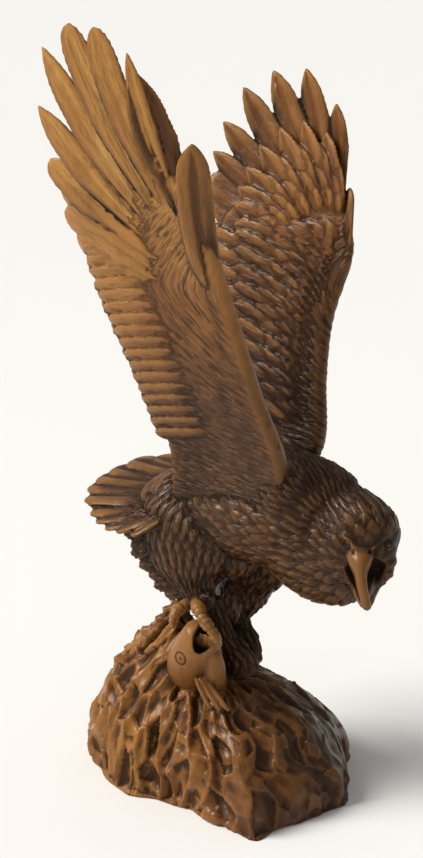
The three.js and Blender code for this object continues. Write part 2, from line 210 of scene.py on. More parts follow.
def ball(centre, radii, kind, tone, group="mass", rings=16, sides=24):
    latitude = np.linspace(-math.pi / 2, math.pi / 2, rings + 2)[1:-1][:, None]
    angle = hoop_angles(sides)[None]
    on_sphere = np.stack([np.cos(latitude) * np.cos(angle), np.cos(latitude) * np.sin(angle),
                          np.sin(latitude) + 0 * angle], -1)
    radii, centre = np.asarray(radii, float), np.asarray(centre, float)
    pole = np.array([0, 0, radii[2]])
    add_shell(centre + on_sphere * radii, centre - pole, centre + pole, kind, tone, group=group)


print("round forms come from two makers, loft and ball")

# %% [markdown]
# A carved feather is a long tongue, thin at its edges, with a groove along its shaft and a
# blunt or pointed tip. There are hundreds of them, so one maker bends, rolls and tapers
# them all. Its rings lie closer together where the tip is rounded off.

# %% Feathers
FEATHER_RINGS = np.concatenate([np.linspace(0, 0.84, 15), [0.88, 0.915, 0.945, 0.97, 0.988]])
FEATHER_SIDES = 20
TIP_SHARE, GROOVE_SHARE = 0.2, 0.15


def feather(curve, normal, width, thickness, kind="quill", sharp=0.0, taper=0.0, roll=0.0,
            tone=0.5, groove=0.4, group="detail", shade=0.0, stem=0.9, seam=0.0):
    """Feather along a curve of three points, thin at its edges, grooved along its shaft.
    shade paints one side lighter and the other darker, as light from one side would fall, stem
    narrows the root, and seam paints shade along both edges, as in the furrows between feathers."""
    start, middle, end = (np.asarray(point, float) for point in curve)
    t = FEATHER_RINGS
    s = t[:, None]
    centre = (1 - s) ** 2 * start + 2 * s * (1 - s) * middle + s ** 2 * end
    tangent = unit(2 * (1 - s) * (middle - start) + 2 * s * (end - middle))
    rise = np.broadcast_to(np.asarray(normal, float), tangent.shape)
    rise = unit(rise - (rise * tangent).sum(1, keepdims=True) * tangent)
    across = np.cross(rise, tangent)
    rise, across = (rise * math.cos(roll) - across * math.sin(roll),
                    across * math.cos(roll) + rise * math.sin(roll))
    body = np.interp(t, [0, 0.25, 0.6, 0.85],
                     [0.5 * stem, stem, 1 - 0.14 * taper, 0.94 - 0.46 * taper])
    blunt = np.clip((t - (1 - TIP_SHARE)) / TIP_SHARE, 0, 1)
    end_round = (1 - blunt ** (2.6 - 1.3 * sharp)) ** (0.5 + 0.45 * sharp)
    half = (width / 2) * body * end_round
    thick = (thickness / 2) * (1 - 0.45 * t) * np.sqrt(np.clip(1 - blunt ** 3, 0.05, 1))
    angle = hoop_angles(FEATHER_SIDES)
    side, lift = np.cos(angle), np.sin(angle)
    shaft = 1 - groove * np.exp(-(side / GROOVE_SHARE) ** 2) * (np.abs(lift) > 0.2)
    lift = lift * (1 - 0.25 * np.abs(side)) * shaft
    ring_points = (centre[:, None] + across[:, None] * (half[:, None] * side)[..., None]
                   + rise[:, None] * (thick[:, None] * lift)[..., None])
    # Painted light: the tone is lighter on one side and darker on the other, as side light would
    # fall, and painted shade runs along both edges, for the furrows between feathers.
    furrow_shade = seam * np.interp(t, [0.08, 0.28, 1.0], [0.0, 1.0, 0.3])[:, None]
    tones = tone + shade * side[None] - furrow_shade * np.abs(side[None]) ** 5
    add_shell(ring_points, start, end, kind, tones, group=group)


print("each feather has", len(FEATHER_RINGS), "rings of", FEATHER_SIDES, "points")

# %% [markdown]
# The rock is a mound around an apex below the bird's right foot, with a crest there. Its
# rim comes from a few directions and reaches, and the corners fade out towards the top. A
# formula for the height keeps the slope even, and other forms can ask it where they stand.

# %% Form of the rock
ROCK_REACH, ROCK_CREST_RISE, ROCK_LEFT_RISE = 104.0, 27.0, 30.0
ROCK_APEX = np.array([-22.0, -8.0])
RIM = np.array([
    [-176, 0.84], [-160, 0.77], [-142, 0.66], [-113, 0.6], [-90, 0.5], [-66, 0.53], [-46, 0.75],
    [-35, 1], [-23, 0.92], [-12, 0.95], [-1, 0.98], [8, 1.04], [23, 0.98], [38, 0.97], [48, 1.03],
    [70, 0.91], [95, 0.8], [120, 0.78], [150, 0.83],
])


def smoothstep(value, low, high):
    t = np.clip((value - low) / (high - low), 0, 1)
    return t * t * (3 - 2 * t)


def rim_share(degrees):
    degrees = (np.asarray(degrees, float) + 176.0) % 360.0 - 176.0
    angles = np.append(RIM[:, 0], RIM[0, 0] + 360)
    shares = np.append(RIM[:, 1], RIM[0, 1])
    i = np.clip(np.searchsorted(angles, degrees, side="right") - 1, 0, len(RIM) - 1)
    f = smoothstep(degrees, angles[i], angles[i + 1])
    return shares[i] * (1 - f) + shares[i + 1] * f


def rock_outline(degrees, s):
    rounded = np.mean([rim_share(degrees + step) for step in (-40, -20, 0, 20, 40)], axis=0)
    return ROCK_REACH * (rounded * (1 - s ** 2) + rim_share(degrees) * s ** 2)


def rock_height(degrees, s, x, y):
    cosine = np.cos(np.radians(degrees))
    leftward = np.maximum(0, -cosine) * smoothstep(s, 0, 0.3)
    flank = 0.7 + 0.12 * cosine
    dome = (ROCK_TOP + ROCK_LEFT_RISE * leftward) * np.clip(1 - s ** 2.3, 0, 1) ** flank
    crest = np.exp(-((x + 34) / 19) ** 2 - ((y + 8) / 17) ** 2)
    return dome + ROCK_CREST_RISE * crest * (1 - s)


def on_rock(degrees, share):
    """Place on the rock's uncarved surface: direction from its apex, share of the reach."""
    reach = share * rock_outline(degrees, share)
    x = ROCK_APEX[0] + reach * math.cos(math.radians(degrees))
    y = ROCK_APEX[1] + reach * math.sin(math.radians(degrees))
    return np.array([x, y, rock_height(degrees, share, x, y)])


print("the rock's crest lies at", np.round(on_rock(0.0, 0.0), 1), "mm")

# %% [markdown]
# The rock's shell has rings from the apex to the rim, closer together where it is steep.
# Its foot is tucked in a little. It is darker on its right than on its left, partly stained and
# partly painted shade, as the light comes from the left. A few knobs of wood stand along its left
# shoulder. The gouge hollows are not in the shell, because they are cut later into the fused skin.

# %% Rock and knobs
ROCK_RINGS, ROCK_COLUMNS = 70, 220
FOOT_TUCK, FOOT_RISE = 0.05, 26.0
# Length of rock's rim for one radian of its flow
FLOW_RADIUS = 80.0
# Direction, share of the reach, radius
KNOBS = (
    (-168, 0.2, 7), (-160, 0.34, 5.5), (-165, 0.46, 7), (-155, 0.56, 5.5), (-160, 0.68, 7),
    (178, 0.6, 6),
)


def make_rock():
    s = 1 - (1 - (np.arange(ROCK_RINGS) + 0.7) / (ROCK_RINGS - 0.3)) ** 2
    s = np.clip(s, 0, 1)[:, None]
    degrees = np.linspace(180, -180, ROCK_COLUMNS + 1)[None]
    reach = s * rock_outline(degrees, s)
    x = ROCK_APEX[0] + reach * np.cos(np.radians(degrees))
    y = ROCK_APEX[1] + reach * np.sin(np.radians(degrees))
    z = rock_height(degrees, s, x, y)
    z[-1] = 0.0
    tuck = 1 - FOOT_TUCK * (1 - smoothstep(z, 0, FOOT_RISE))
    x = ROCK_APEX[0] + (x - ROCK_APEX[0]) * tuck
    y = ROCK_APEX[1] + (y - ROCK_APEX[1]) * tuck
    ring_points = np.stack([x, y, z], -1)
    steps = np.diff(ring_points[:, ROCK_COLUMNS // 2], axis=0)
    slope = np.concatenate([[0], np.cumsum(np.linalg.norm(steps, axis=1))])

    def down_the_slope(flow):
        flow[..., 0] = slope[:, None]
        flow[..., 1] = np.radians(180 - degrees) * FLOW_RADIUS
        return flow

    # Tone rises towards the left: partly the wood's stain, partly painted shade on the side away
    # from the light.
    leftward = smoothstep(-(x + 0.5 * y), -55.0, 60.0)
    add_shell(ring_points, on_rock(0.0, 0.0), [0, 0, 0], "rock", 0.2 + 0.3 * leftward,
              down_the_slope)


def make_knobs():
    for degrees, share, radius in KNOBS:
        centre = on_rock(degrees, share) - [0, 0, 0.4 * radius]
        ball(centre, (radius, radius, 0.9 * radius), "rock", 0.34)


make_rock()
make_knobs()
print("rock's shell:", len(shells[0]["points"]), "points, with", len(KNOBS), "knobs")

# %% [markdown]
# Body and neck are one swelling form from the root of the tail to the back of the head,
# because the carver rounds them in one sweep. Its top carries the flow's seam, where the
# wings hide it. Two balls fill the belly and the shoulder in front of the near wing.

# %% Body
BODY_RINGS = 110
BODY = [
    [-64, 0, 108, 17, 10], [-40, 0, 110, 23, 21], [-12, 0, 110, 29, 29], [18, 0, 113, 33, 34],
    [45, 0, 114, 33, 40], [66, -1, 105, 29, 42], [84, -4, 109, 25, 36], [98, -8, 112, 22, 26],
    [108, -13, 109, 14, 16],
]
loft(BODY, "lock", np.linspace(0.2, 0.12, BODY_RINGS), sides=90, start=-math.pi / 2,
     rings=BODY_RINGS)
ball(place([-6, -2, 82]), (25, 19, 18), "tuft", 0.12)
ball(place([46, -20, 136]), (16, 14, 22), "lock", 0.14)
print("body's shell:", len(shells[-3]["points"]), "points")

# %% [markdown]
# The head hangs down and turns to the bird's right, so its parts are placed on axes of its
# own: ahead along the beak, up to the crown, and sideways. That way the beak, the brows and
# the eyes keep their places to each other however the head is turned.

# %% Head's axes
HEAD_CENTRE = place([97, -9, 112])
AHEAD = unit(np.array([0.413, -0.492, -0.766]))
CROWN = np.array([0.492, -0.586, 0.643])
CROWN = unit(CROWN - CROWN.dot(AHEAD) * AHEAD)
SIDEWAYS = np.cross(AHEAD, CROWN)


def on_head(forward, up, side):
    forward, up, side = np.broadcast_arrays(forward, up, side)
    return (HEAD_CENTRE + forward[..., None] * AHEAD + up[..., None] * CROWN
            + side[..., None] * SIDEWAYS)


def head_form(stations, kind, tone, sides=24, rings=24, group="detail"):
    """Round form on the head: stations [forward, up, side, half across, half rise]."""
    rows = between(stations, np.linspace(0, 1, rings))
    angle = hoop_angles(sides)[None]
    points = on_head(rows[:, 0:1] + 0 * angle, rows[:, 1:2] + rows[:, 4:5] * np.sin(angle),
                     rows[:, 2:3] - rows[:, 3:4] * np.cos(angle))
    first, last = rows[0], rows[-1]
    add_shell(points, on_head(first[0] - first[4] / 2, first[1], first[2]),
              on_head(last[0] + last[4] / 2, last[1], last[2]), kind, tone, group=group)


def ridge(path, radius, tone):
    """Thin raised line over head places [forward, up, side]."""
    stations = [[f, u, s, radius, radius] for f, u, s in path]
    head_form(stations, "smooth", tone, sides=12, rings=16)


print("the beak points along", np.round(AHEAD, 2))

# %% [markdown]
# The face has full cheeks over a broad lower jaw, and a hooked upper beak bridges the mouth, which
# is wide open. The mouth's hollow is a form of its own. It is taken out of the fused block later,
# as a carver would drill it, and its walls get a dark tone as painted shade. A brow over each eye
# runs down to the beak.

# %% Face, beak and brows
EYE_RADIUS = 3.4


def make_face():
    head_form([[-14, 0, 0, 16.5, 17], [-4, 1, 0, 19.5, 17.5], [6, 2, 0, 18.5, 15],
               [14, -2, -0.5, 17, 11], [20, -5, -0.5, 15.5, 8], [25, -7, -0.5, 11, 5.5]],
              "lock", 0.16, sides=60, rings=40, group="mass")
    head_form([[2, -8, 0.5, 13.5, 8], [11, -8.5, 0.7, 13.2, 7], [19, -8.5, 1, 12.4, 6],
               [26.5, -8, 1.1, 9.2, 5], [33.5, -7.5, 1.7, 6.2, 4.2], [39, -6.5, 2, 3.6, 3.4]],
              "smooth", 0.2, sides=40, rings=30, group="mass")
    # The mouth's hollow gets a dark tone: painted shade inside the open beak.
    head_form([[16, 4, 2.2, 12, 11], [20, 3, 2.4, 11.8, 11], [27, 0, 2.2, 8.6, 8],
               [33, -2.5, 2.2, 5.2, 5.5], [37, -4, 2.2, 2.8, 3]],
              "smooth", 0.07, sides=32, rings=24, group="mouth")


def make_beak_and_brows():
    head_form([[4, 7, 4.6, 3.2, 6.6], [10.5, 7.4, 5.0, 8.0, 7.2], [17, 8.3, 5.6, 6.6, 7.5],
               [23.5, 8, 6.1, 4.0, 6.2], [30, 6, 5.6, 3.1, 5], [36, 3.2, 4.2, 2.9, 4.2],
               [41.5, -0.5, 2.6, 2.5, 3.2]], "smooth", 0.3, sides=32, rings=40)
    ridge([[0.5, 12.0, 15.4], [5, 13.0, 12], [10, 12.8, 8.2]], 2.1, 0.3)
    ridge([[0.5, 13.5, -10.5], [5, 14.5, -7], [10, 12.9, -1.5]], 2.0, 0.2)
    for eye in (on_head(7, 10.4, -10.8), on_head(6, 8.2, 13.0)):
        ball(eye, (EYE_RADIUS, EYE_RADIUS, EYE_RADIUS), "smooth", 0.14, group="detail")


make_face()
make_beak_and_brows()
print("rock, body and head:", len(shells), "shells")

# %% [markdown]
# Each wing lies on a surface that leans outwards as it rises and curves back in. Points are
# given by their place along the bird and their height, and the surface adds how far out they
# lie. So both wings can be drawn flat, as seen from the side.

# %% Surfaces of the wings
RIGHT, LEFT = -1, 1
WING_ROOT, WING_RISE = 147.0, 260.0


def wing_reach(h):
    t = np.maximum(0, (h - WING_ROOT) / WING_RISE)
    return 28 + 83 * t - 16 * t * t - 0.17 * np.maximum(0, WING_ROOT - h)


def wing_outwards(side, h):
    slope = (wing_reach(h + 1) - wing_reach(h - 1)) / 2
    return unit(np.stack([0 * slope, side + 0 * slope, -slope], -1))


def on_wing(side, x, h, outwards=0.0):
    x, h, outwards = np.broadcast_arrays(np.asarray(x, float), np.asarray(h, float), outwards)
    points = place(np.stack([x, side * wing_reach(h), h], -1))
    return points + wing_outwards(side, h) * outwards[..., None]


print("the wings stand", 2 * wing_reach(WING_ROOT + WING_RISE), "mm apart near their tips")

# %% [markdown]
# Chords cross each wing from its front to its rear edge: x and height in front, then behind.
# Long feathers run from the wrist to the tips. The two wings differ, as on the real carving: the
# near one is longer, and its first feathers are blunt. The far one is darker, partly in its wood
# and partly as painted shade where the near wing shadows it, and both grow lighter towards the
# hand, partly the wood and partly painted light where the light falls.

# %% Measures of the wings
# Tones run from root to hand and hold painted light as well as the wood: lighter up high where the
# light falls, and darker on the far wing as the near wing's painted shadow.
WINGS = [
    {
        "side": RIGHT,
        "chords": [
            [24, 114, -40, 108], [54, 148, -38, 154], [46, 198, -48, 203], [39, 241, -62, 250],
            [33, 276, -68, 290], [28, 300, -66, 322], [20, 318, -46, 350], [4, 334, -22, 366],
        ],
        "wrist": [[22, 290], [17, 292], [12, 290], [7, 287], [2, 284], [-4, 281], [-10, 278]],
        "tips": [[-8, 386], [-11, 396.5], [-32, 409], [-51, 410], [-71, 396.5], [-81, 362],
                 [-80, 330]],
        "widths": [27, 14, 20, 21, 22, 22, 19],
        "twist": [0.5, 0.3, 0.2, 0.15, 0.15, 0.15, 0.15],
        "blunt": [2, 3, 6],
        "fan": [[-74, 316], [-75, 300], [-69, 286]],
        "alula": [[25, 266, 26, 349, 21], [20, 268, 19, 334, 14]],
        "tones": [0.12, 0.26, 0.46, 0.6, 0.66],
    },
    {
        "side": LEFT,
        "chords": [
            [24, 114, -40, 108], [43, 150, -38, 154], [37, 190, -48, 198], [35, 225, -60, 238],
            [42, 262, -66, 272], [38, 280, -56, 286], [30, 291, -38, 296], [22, 298, -20, 303],
        ],
        "wrist": [[30, 288], [26, 289], [20, 288], [12, 286], [4, 282], [-2, 277]],
        "tips": [[15, 353], [-10, 372.5], [-34, 370], [-55, 358], [-67, 336], [-72, 317]],
        "widths": [17, 23, 25, 24, 22, 20],
        "twist": [0.1, 0.1, 0.1, 0.1, 0.1, 0.1],
        "blunt": [],
        "fan": [[-72, 301], [-69, 288]],
        "alula": [[38, 262, 33, 304, 13]],
        "tones": [0.06, 0.13, 0.23, 0.32, 0.38],
    },
]


print("long feathers:", [len(wing["tips"]) for wing in WINGS], "and fans:",
      [len(wing["fan"]) for wing in WINGS])

# %% [markdown]
# A slab, thick in front and thin behind, carries each wing's short feathers. The outer face
# of the near wing is covered with hair-like strokes that sweep back from the front edge, so
# the slab's flow is sheared more and more towards the hand.

# %% Slabs of the wings
FRONT_THICK, REAR_THICK = 13.0, 3.8
SLAB_RINGS, SLAB_SECTIONS = 110, 44


def on_chord(wing, t, chord):
    rows = between(wing["chords"], t)
    chord = np.asarray(chord, float)[..., None]
    return rows[..., 0:2] * (1 - chord) + rows[..., 2:4] * chord


def wing_tone(wing, t):
    return float(np.interp(t, np.linspace(0, 1, len(wing["tones"])), wing["tones"]))


def tone_at(wing, h):
    return wing_tone(wing, (h - 112) / 250)


def make_slab(wing):
    side = wing["side"]
    t = np.linspace(0, 1, SLAB_RINGS)[:, None]
    chord = (np.linspace(0, 1, SLAB_SECTIONS) ** 1.6)[None]
    half = ((FRONT_THICK / 2) * (1 - 0.5 * t) * (1 - np.minimum(1, 1.4 * chord))
            + (REAR_THICK / 2) * np.minimum(1, 1.4 * chord))
    nose = np.sqrt(np.clip(1 - (1 - np.clip(chord / 0.05, 0, 1)) ** 2, 0.02, 1))
    places = on_chord(wing, t + 0 * chord, 0.92 * chord + 0 * t)
    outer = on_wing(side, places[..., 0], places[..., 1], half * nose)
    inner = on_wing(side, places[..., 0], places[..., 1], -half * nose)
    ring = np.concatenate([outer, inner[:, ::-1], outer[:, :1]], axis=1)
    chords = np.concatenate([chord[0], chord[0, ::-1], [0]])
    if side == RIGHT:
        ring, chords = ring[:, ::-1], chords[::-1]
    steps = np.diff(ring[:, SLAB_SECTIONS // 2], axis=0)
    span = np.concatenate([[0], np.cumsum(np.linalg.norm(steps, axis=1))])
    width = np.linalg.norm(outer[:, -1] - outer[:, 0], axis=1)
    lean = np.interp(t[:, 0], [0, 0.25, 0.5, 0.7, 0.85], [0.05, 0.25, 0.7, 1.5, 2.2])

    def rearwards(flow):
        along = width[:, None] * chords[None]
        flow[..., 0] = along * np.sqrt(1 + lean ** 2)[:, None]
        flow[..., 1] = (span[:, None] - lean[:, None] * along) / np.sqrt(1 + lean ** 2)[:, None]
        return flow

    tone = np.array([wing_tone(wing, value) for value in t[:, 0]])
    rear = 1 - smoothstep(chords, 0.55, 0.7)[None] * smoothstep(t, 0.16, 0.26)
    # Only the near wing's front edge is smooth
    bare = 0.02 if side == RIGHT else -0.1
    hairy = smoothstep(chords, bare, bare + 0.1)[None] * rear
    hairy = 0.12 + 0.88 * hairy * (1 - smoothstep(t, 0.66, 0.8))
    add_shell(ring, ring[0, :-1].mean(axis=0), ring[-1, :-1].mean(axis=0), "hair", tone, rearwards,
              strokes=hairy)


for wing in WINGS:
    print("tones from root to hand:", [wing_tone(wing, t) for t in (0, 0.5, 1)])

# %% [markdown]
# The outer face ends in long feathers that fan out from the wrist, and short strips lie
# across its rear edge, one below the other. Each feather bows out from the wing's surface
# between its root and its tip, so that neighbours overlap and leave deep furrows.

# %% Outer faces
FEATHER_THICK = 5.2
STRIPS, STRIPS_TOP, STRIPS_FOOT = 17, 276.0, 160.0


def wing_feather(wing, root, tip, outwards, bow=0.05, **style):
    side = wing["side"]
    root, tip = np.asarray(root, float), np.asarray(tip, float)
    bend = bow * np.hypot(*(tip - root))
    middle = (root + tip) / 2 - [bend, bend * 0.4]
    curve = [on_wing(side, *place_on, lift) for place_on, lift in
             zip((root, middle, tip), outwards)]
    feather(curve, wing_outwards(side, middle[1]), **style)


def fan_roots(wing):
    return [[-8 - 3 * i, 274 - 5 * i] for i in range(len(wing["fan"]))]


def make_outer_face(wing):
    side = wing["side"]
    for i, (root, tip) in enumerate(zip(wing["wrist"], wing["tips"])):
        # The near wing's first feather turns away from the light, behind the second, and its tone
        # is painted darker as shade
        dark = side == RIGHT and i == 0
        lift = 2.5 if dark else 6.5 - 0.4 * i
        blunt = i in wing["blunt"]
        wing_feather(
            wing, root, tip, (-1.0, lift, 0), width=wing["widths"][i], thickness=FEATHER_THICK,
            sharp=0 if blunt else 0.8, taper=0 if blunt else 0.4,
            roll=-side * wing["twist"][i], tone=0.26 if dark else wing["tones"][-1], groove=0.5,
            shade=0.14 * side, stem=0.5, seam=1.2)
    for root, tip in zip(fan_roots(wing), wing["fan"]):
        wing_feather(wing, root, tip, (0.5, 3.6, 0), width=21, thickness=4.4, sharp=0.1,
                     roll=side * 0.12, tone=wing["tones"][-1] * 0.9)
    rear = np.array(wing["chords"])[:, 2:4]
    for i in range(STRIPS):
        h = STRIPS_TOP - (STRIPS_TOP - STRIPS_FOOT) * i / (STRIPS - 1)
        x = np.interp(h, rear[:, 1], rear[:, 0])
        length = 47 + 9 * i / (STRIPS - 1)
        wing_feather(wing, [x + length, h + 0.19 * length], [x, h], (-0.6, 2.8, 0.3), width=12,
                     thickness=3.4, roll=side * 0.3, tone=tone_at(wing, h), groove=0, bow=0.02)


print("strips on each wing:", STRIPS)

# %% [markdown]
# The inner face of the far wing shows rows of feathers that overlap like roof tiles. Each
# row starts nearer the front edge than the last and lies on top of it, with smaller
# feathers. On the hand the rows repeat the fan of the long feathers, each time shorter.

# %% Inner faces
# Tip's place across the wing, length as a share of the chord, width
ARM_ROWS = [
    (1.0, 0.5, 19), (0.82, 0.46, 18), (0.64, 0.38, 15), (0.48, 0.3, 12), (0.35, 0.22, 9),
    (0.24, 0.16, 7.5),
]
ARM_START, ARM_LENGTH = 0.2, 280.0
HAND_SHARES = (0.64, 0.48, 0.33, 0.2)


def make_arm_rows(wing):
    side = wing["side"]
    for k, (reach, length, width) in enumerate(ARM_ROWS):
        last = 0.58 + 0.03 * k
        count = int(ARM_LENGTH * (last - ARM_START) / (0.62 * width))
        for i in range(count):
            t = ARM_START + (last - ARM_START) * (i + 0.5 * (k % 2)) / count
            root = on_chord(wing, t - 0.035, reach - length)
            tip = on_chord(wing, t, reach)
            wing_feather(wing, root, tip, (-1.2 - 0.25 * k, -3.2 - 0.3 * k, -2.4 if k else -0.6),
                         width=width, thickness=3.0 - 0.2 * k, roll=-side * 0.22, sharp=0.3,
                         tone=tone_at(wing, tip[1]), groove=0.5, shade=0.1 * side, seam=0.3)


def make_hand_rows(wing):
    side = wing["side"]
    tips, roots = wing["tips"] + wing["fan"], wing["wrist"] + fan_roots(wing)
    for k, share in enumerate(HAND_SHARES):
        for i in range(len(tips) - 1):
            root = (np.array(roots[i]) + roots[i + 1]) / 2
            end = np.array(tips[i]) if k % 2 else (np.array(tips[i]) + tips[i + 1]) / 2
            tip = root + (end - root) * share
            wing_feather(wing, root, tip, (-0.8 - 0.4 * k, -2.9 - 0.5 * k, -2.0 - 0.4 * k),
                         width=19 - 2.5 * k, thickness=3.2, roll=-side * 0.2, sharp=1.0,
                         taper=0.5,
                         tone=wing["tones"][-1], groove=0.6, shade=0.1 * side, seam=0.4)


def make_thumb(wing):
    """Short feathers that stand at the wrist, in front of the fan."""
    for i, (root_x, root_h, tip_x, tip_h, width) in enumerate(wing["alula"]):
        lift = (1, 5 - 1.5 * i, 1) if wing["side"] == RIGHT else (0, 0.5, 0)
        # Their dark tones, darker for the second, are painted shade, as these feathers lie in
        # shadow at the wrist.
        wing_feather(wing, [root_x, root_h], [tip_x, tip_h], lift, width=width,
                     thickness=FEATHER_THICK * 1.4, sharp=0.6, roll=-wing["side"] * 0.5,
                     tone=0.3 - 0.1 * i, groove=0.5, shade=-0.08 * wing["side"])


for wing in WINGS:
    make_slab(wing)
    make_outer_face(wing)
    make_arm_rows(wing)
    make_hand_rows(wing)
    make_thumb(wing)
print("with wings:", len(shells), "shells")

# %% [markdown]
# The tail is a fan of broad rounded feathers with its right side lower. A wide flat feather
# lies under them as a web, so that no light shows between their roots.

# %% Tail
TAIL_TIPS = [
    [-57, -36, 92], [-69, -34, 91.5], [-80, -31, 91], [-91, -26, 92], [-100, -20, 94],
    [-113, -9, 97.5], [-119, 2, 101], [-119, 12, 104.5], [-115, 22, 108.5], [-107, 32, 113],
    [-92, 38, 116],
]
TAIL_NORMAL = unit(np.array([-0.2, -0.35, 1.0]))


def make_tail():
    feather([place([-40, -2, 106]), place([-75, 0, 101]), place([-108, 6, 101.5])], TAIL_NORMAL,
            58, 8, tone=0.2, groove=0, roll=0.1, group="mass")
    for i, tip in enumerate(TAIL_TIPS):
        root = place([-38, tip[1] * 0.55, 111 + (tip[2] - 103) * 0.45])
        end = place(tip)
        middle = (root + end) / 2 + [0, 0, 1.0 * (i % 2)]
        feather([root, middle, end], TAIL_NORMAL, 25, 8.5, roll=0.2, tone=0.2, groove=0.5,
                seam=0.1)


make_tail()
print("tail feathers:", len(TAIL_TIPS))

# %% [markdown]
# The thighs are full and feathered, and their feathers stick out raggedly behind the right
# one. Some wood is left standing between the shanks, which keeps the bird from breaking off.
# The makers are lofts again, with the ragged feathers set in three rows along a line.

# %% Thighs and shanks
RIGHT_THIGH = [
    [-22, -11, 122, 10, 22], [-26, -16, 104, 16, 33], [-25, -19, 88, 16.5, 32],
    [-21, -21, 74, 14, 26], [-18, -22, 64, 10, 16], [-13, -23, 56, 8.5, 11], [-9, -24, 49, 6.5, 8],
]
LEFT_THIGH = [
    [10, 14, 96, 16, 36], [4, 16, 76, 15, 28], [-5.6, 18, 57, 14.5, 20], [-11, 18, 43, 13.5, 19],
    [-11.5, 18, 35, 10.5, 14], [-11.5, 18, 29, 8, 9.2], [-8.2, 18, 22, 5.2, 5.6],
    [-4.4, 18, 11, 6, 6.5], [-5, 17, 2, 8, 9],
]
WOOD_BEHIND_FISH = [
    [-12, -12, 50, 7, 8], [-7, -10, 38, 6.5, 6], [-2, -8, 25, 6.5, 6], [3, -4, 14, 8, 11],
    [5, -2, 2, 10, 13],
]
LEFT_SHANK = [[-11, 17, 36, 8, 9.5], [-8, 16, 24, 7, 7], [-3, 15, 13, 8, 10], [-3, 14, 2, 10, 12]]
# Tips of the ragged feathers [x, height], and the rows' lift, place across and place forward
RAGGED_TIPS = [
    [-78, 92], [-75, 86], [-71, 80], [-68, 74], [-63, 68], [-57, 62], [-50, 57], [-43, 52],
    [-35, 48],
]
RAGGED_ROWS = ((0, -19, 0), (5, -10, 2), (-1, -27, 6))


def make_legs():
    loft(RIGHT_THIGH, "tuft", 0.14, sides=60, up=(1, 0, 0), rings=40)
    loft(LEFT_THIGH, "tuft", 0.13, sides=60, up=(1, 0, 0), rings=60)
    ball(place([-10, 9, 43]), (10, 11, 17), "tuft", 0.12)
    loft(WOOD_BEHIND_FISH, "tuft", 0.06, sides=40, up=(1, 0, 0), rings=30)
    loft(LEFT_SHANK, "tuft", 0.08, sides=40, up=(1, 0, 0), rings=24)


def make_ragged_feathers():
    for lift, across, forward in RAGGED_ROWS:
        for i, (x, h) in enumerate(RAGGED_TIPS):
            x, h = x + forward - 1.5 + 1.5 * (i % 3), h + lift + 1.2 * (i % 2)
            start, end = place([x + 26, across + 1, h + 13]), place([x, across, h])
            feather([start, (start + end) / 2 + [0, -1, 1], end], [0, -1, 0.2], 11.5, 9,
                    sharp=0.8, roll=(i % 2) * 0.4, tone=0.16, kind="tuft", groove=0)


make_legs()
make_ragged_feathers()
print("ragged feathers:", len(RAGGED_ROWS) * len(RAGGED_TIPS))

# %% [markdown]
# The feet are bare and banded. The right one grips the fish's upper lip, with thick
# knuckles, and the left one stands on the rock. Each toe is a thin loft that swells at its
# knuckles.

# %% Toes
def toe(stations, tone):
    """Bare toe through places [x, y, height, half thickness]."""
    loft([[x, y, h, r, r] for x, y, h, r in stations], "scute", tone, sides=20, rings=24,
         up=(0.3, 0.2, 1), group="detail")


def make_toes():
    toe([[-13, -26, 53, 5], [-8, -33, 55, 3.8], [-4, -37, 54.5, 4.8], [1, -40, 51, 3.4],
         [5, -41, 48, 4.3], [9, -41, 44, 3.2], [11, -40, 40, 3.7], [13, -39, 36, 2.2],
         [13, -39, 32, 0.8]], 0.28)
    toe([[-14, -25, 53, 4.6], [-18, -32, 52, 3.6], [-20, -37, 49, 4.2], [-20, -42, 44, 2.6],
         [-18, -44, 40, 1]], 0.28)
    for heading, length in ((-100, 19), (-60, 19), (-15, 12), (170, 16)):
        x, y = math.cos(math.radians(heading)), math.sin(math.radians(heading))
        toe([[-6, 17, 5, 6], [-6 + 0.5 * length * x, 17 + 0.5 * length * y, 5, 4.6],
             [-6 + length * x, 17 + length * y, 0, 2.5]], 0.14)


make_toes()
print("with tail and legs:", len(shells), "shells")

# %% [markdown]
# The fish pushes its smooth head out of the rock, with its mouth wide open under the
# bird's right foot. Folds stand in its mouth, and the rays of a fin lie on the rock. Head
# and chin are two lofts, and a third is the hollow of the mouth, which is taken out later.

# %% Fish
FISH = [
    [-20, -14, -8, 12, 12], [-19, -24, 6, 14, 15], [-12, -31, 20, 15, 15], [-5, -35, 31, 13, 13.5],
    [0, -38, 41, 9, 11],
]
FISH_CHIN = [[-4, -20, -2, 9, 8], [2, -29, 8, 8, 8], [5, -33, 17, 7, 7.5], [5, -36, 27, 5.5, 6.5]]
FISH_GULLET = [[-3, -33, 30, 6.5, 3.5], [2, -39, 37, 11, 6], [8, -46, 44, 13, 7.5]]


def make_fish():
    loft(FISH, "smooth", 0.45, sides=48, up=(1, 0, 0), rings=40)
    loft(FISH_CHIN, "smooth", 0.36, sides=32, up=(1, 0, 0), rings=30)
    # The gullet's dark tone is painted shade inside the fish's open mouth.
    loft(FISH_GULLET, "smooth", 0.08, up=(1, 0, 0), sides=32, rings=20, group="gullet")
    for k in range(3):
        root, tip = place([-3 + 2 * k, -42 + 2 * k, 10]), on_rock(-46 + 7 * k, 0.5)
        feather([root, (root + tip) / 2 + [1, -1.5, 0], tip], [0.3, -1, 0.4], 3.4, 4, tone=0.46,
                groove=0)
    for k in range(3):
        loft([[-5 + 4 * k, -34, 26, 1.4, 2], [-2 + 4 * k, -38.5, 33, 1.3, 2.4],
              [0 + 4 * k, -40, 40, 0.8, 1.5]], "smooth", 0.3, up=(1, 0, 0), sides=16, rings=14,
             group="detail")


make_fish()
print("all forms:", len(shells), "shells")

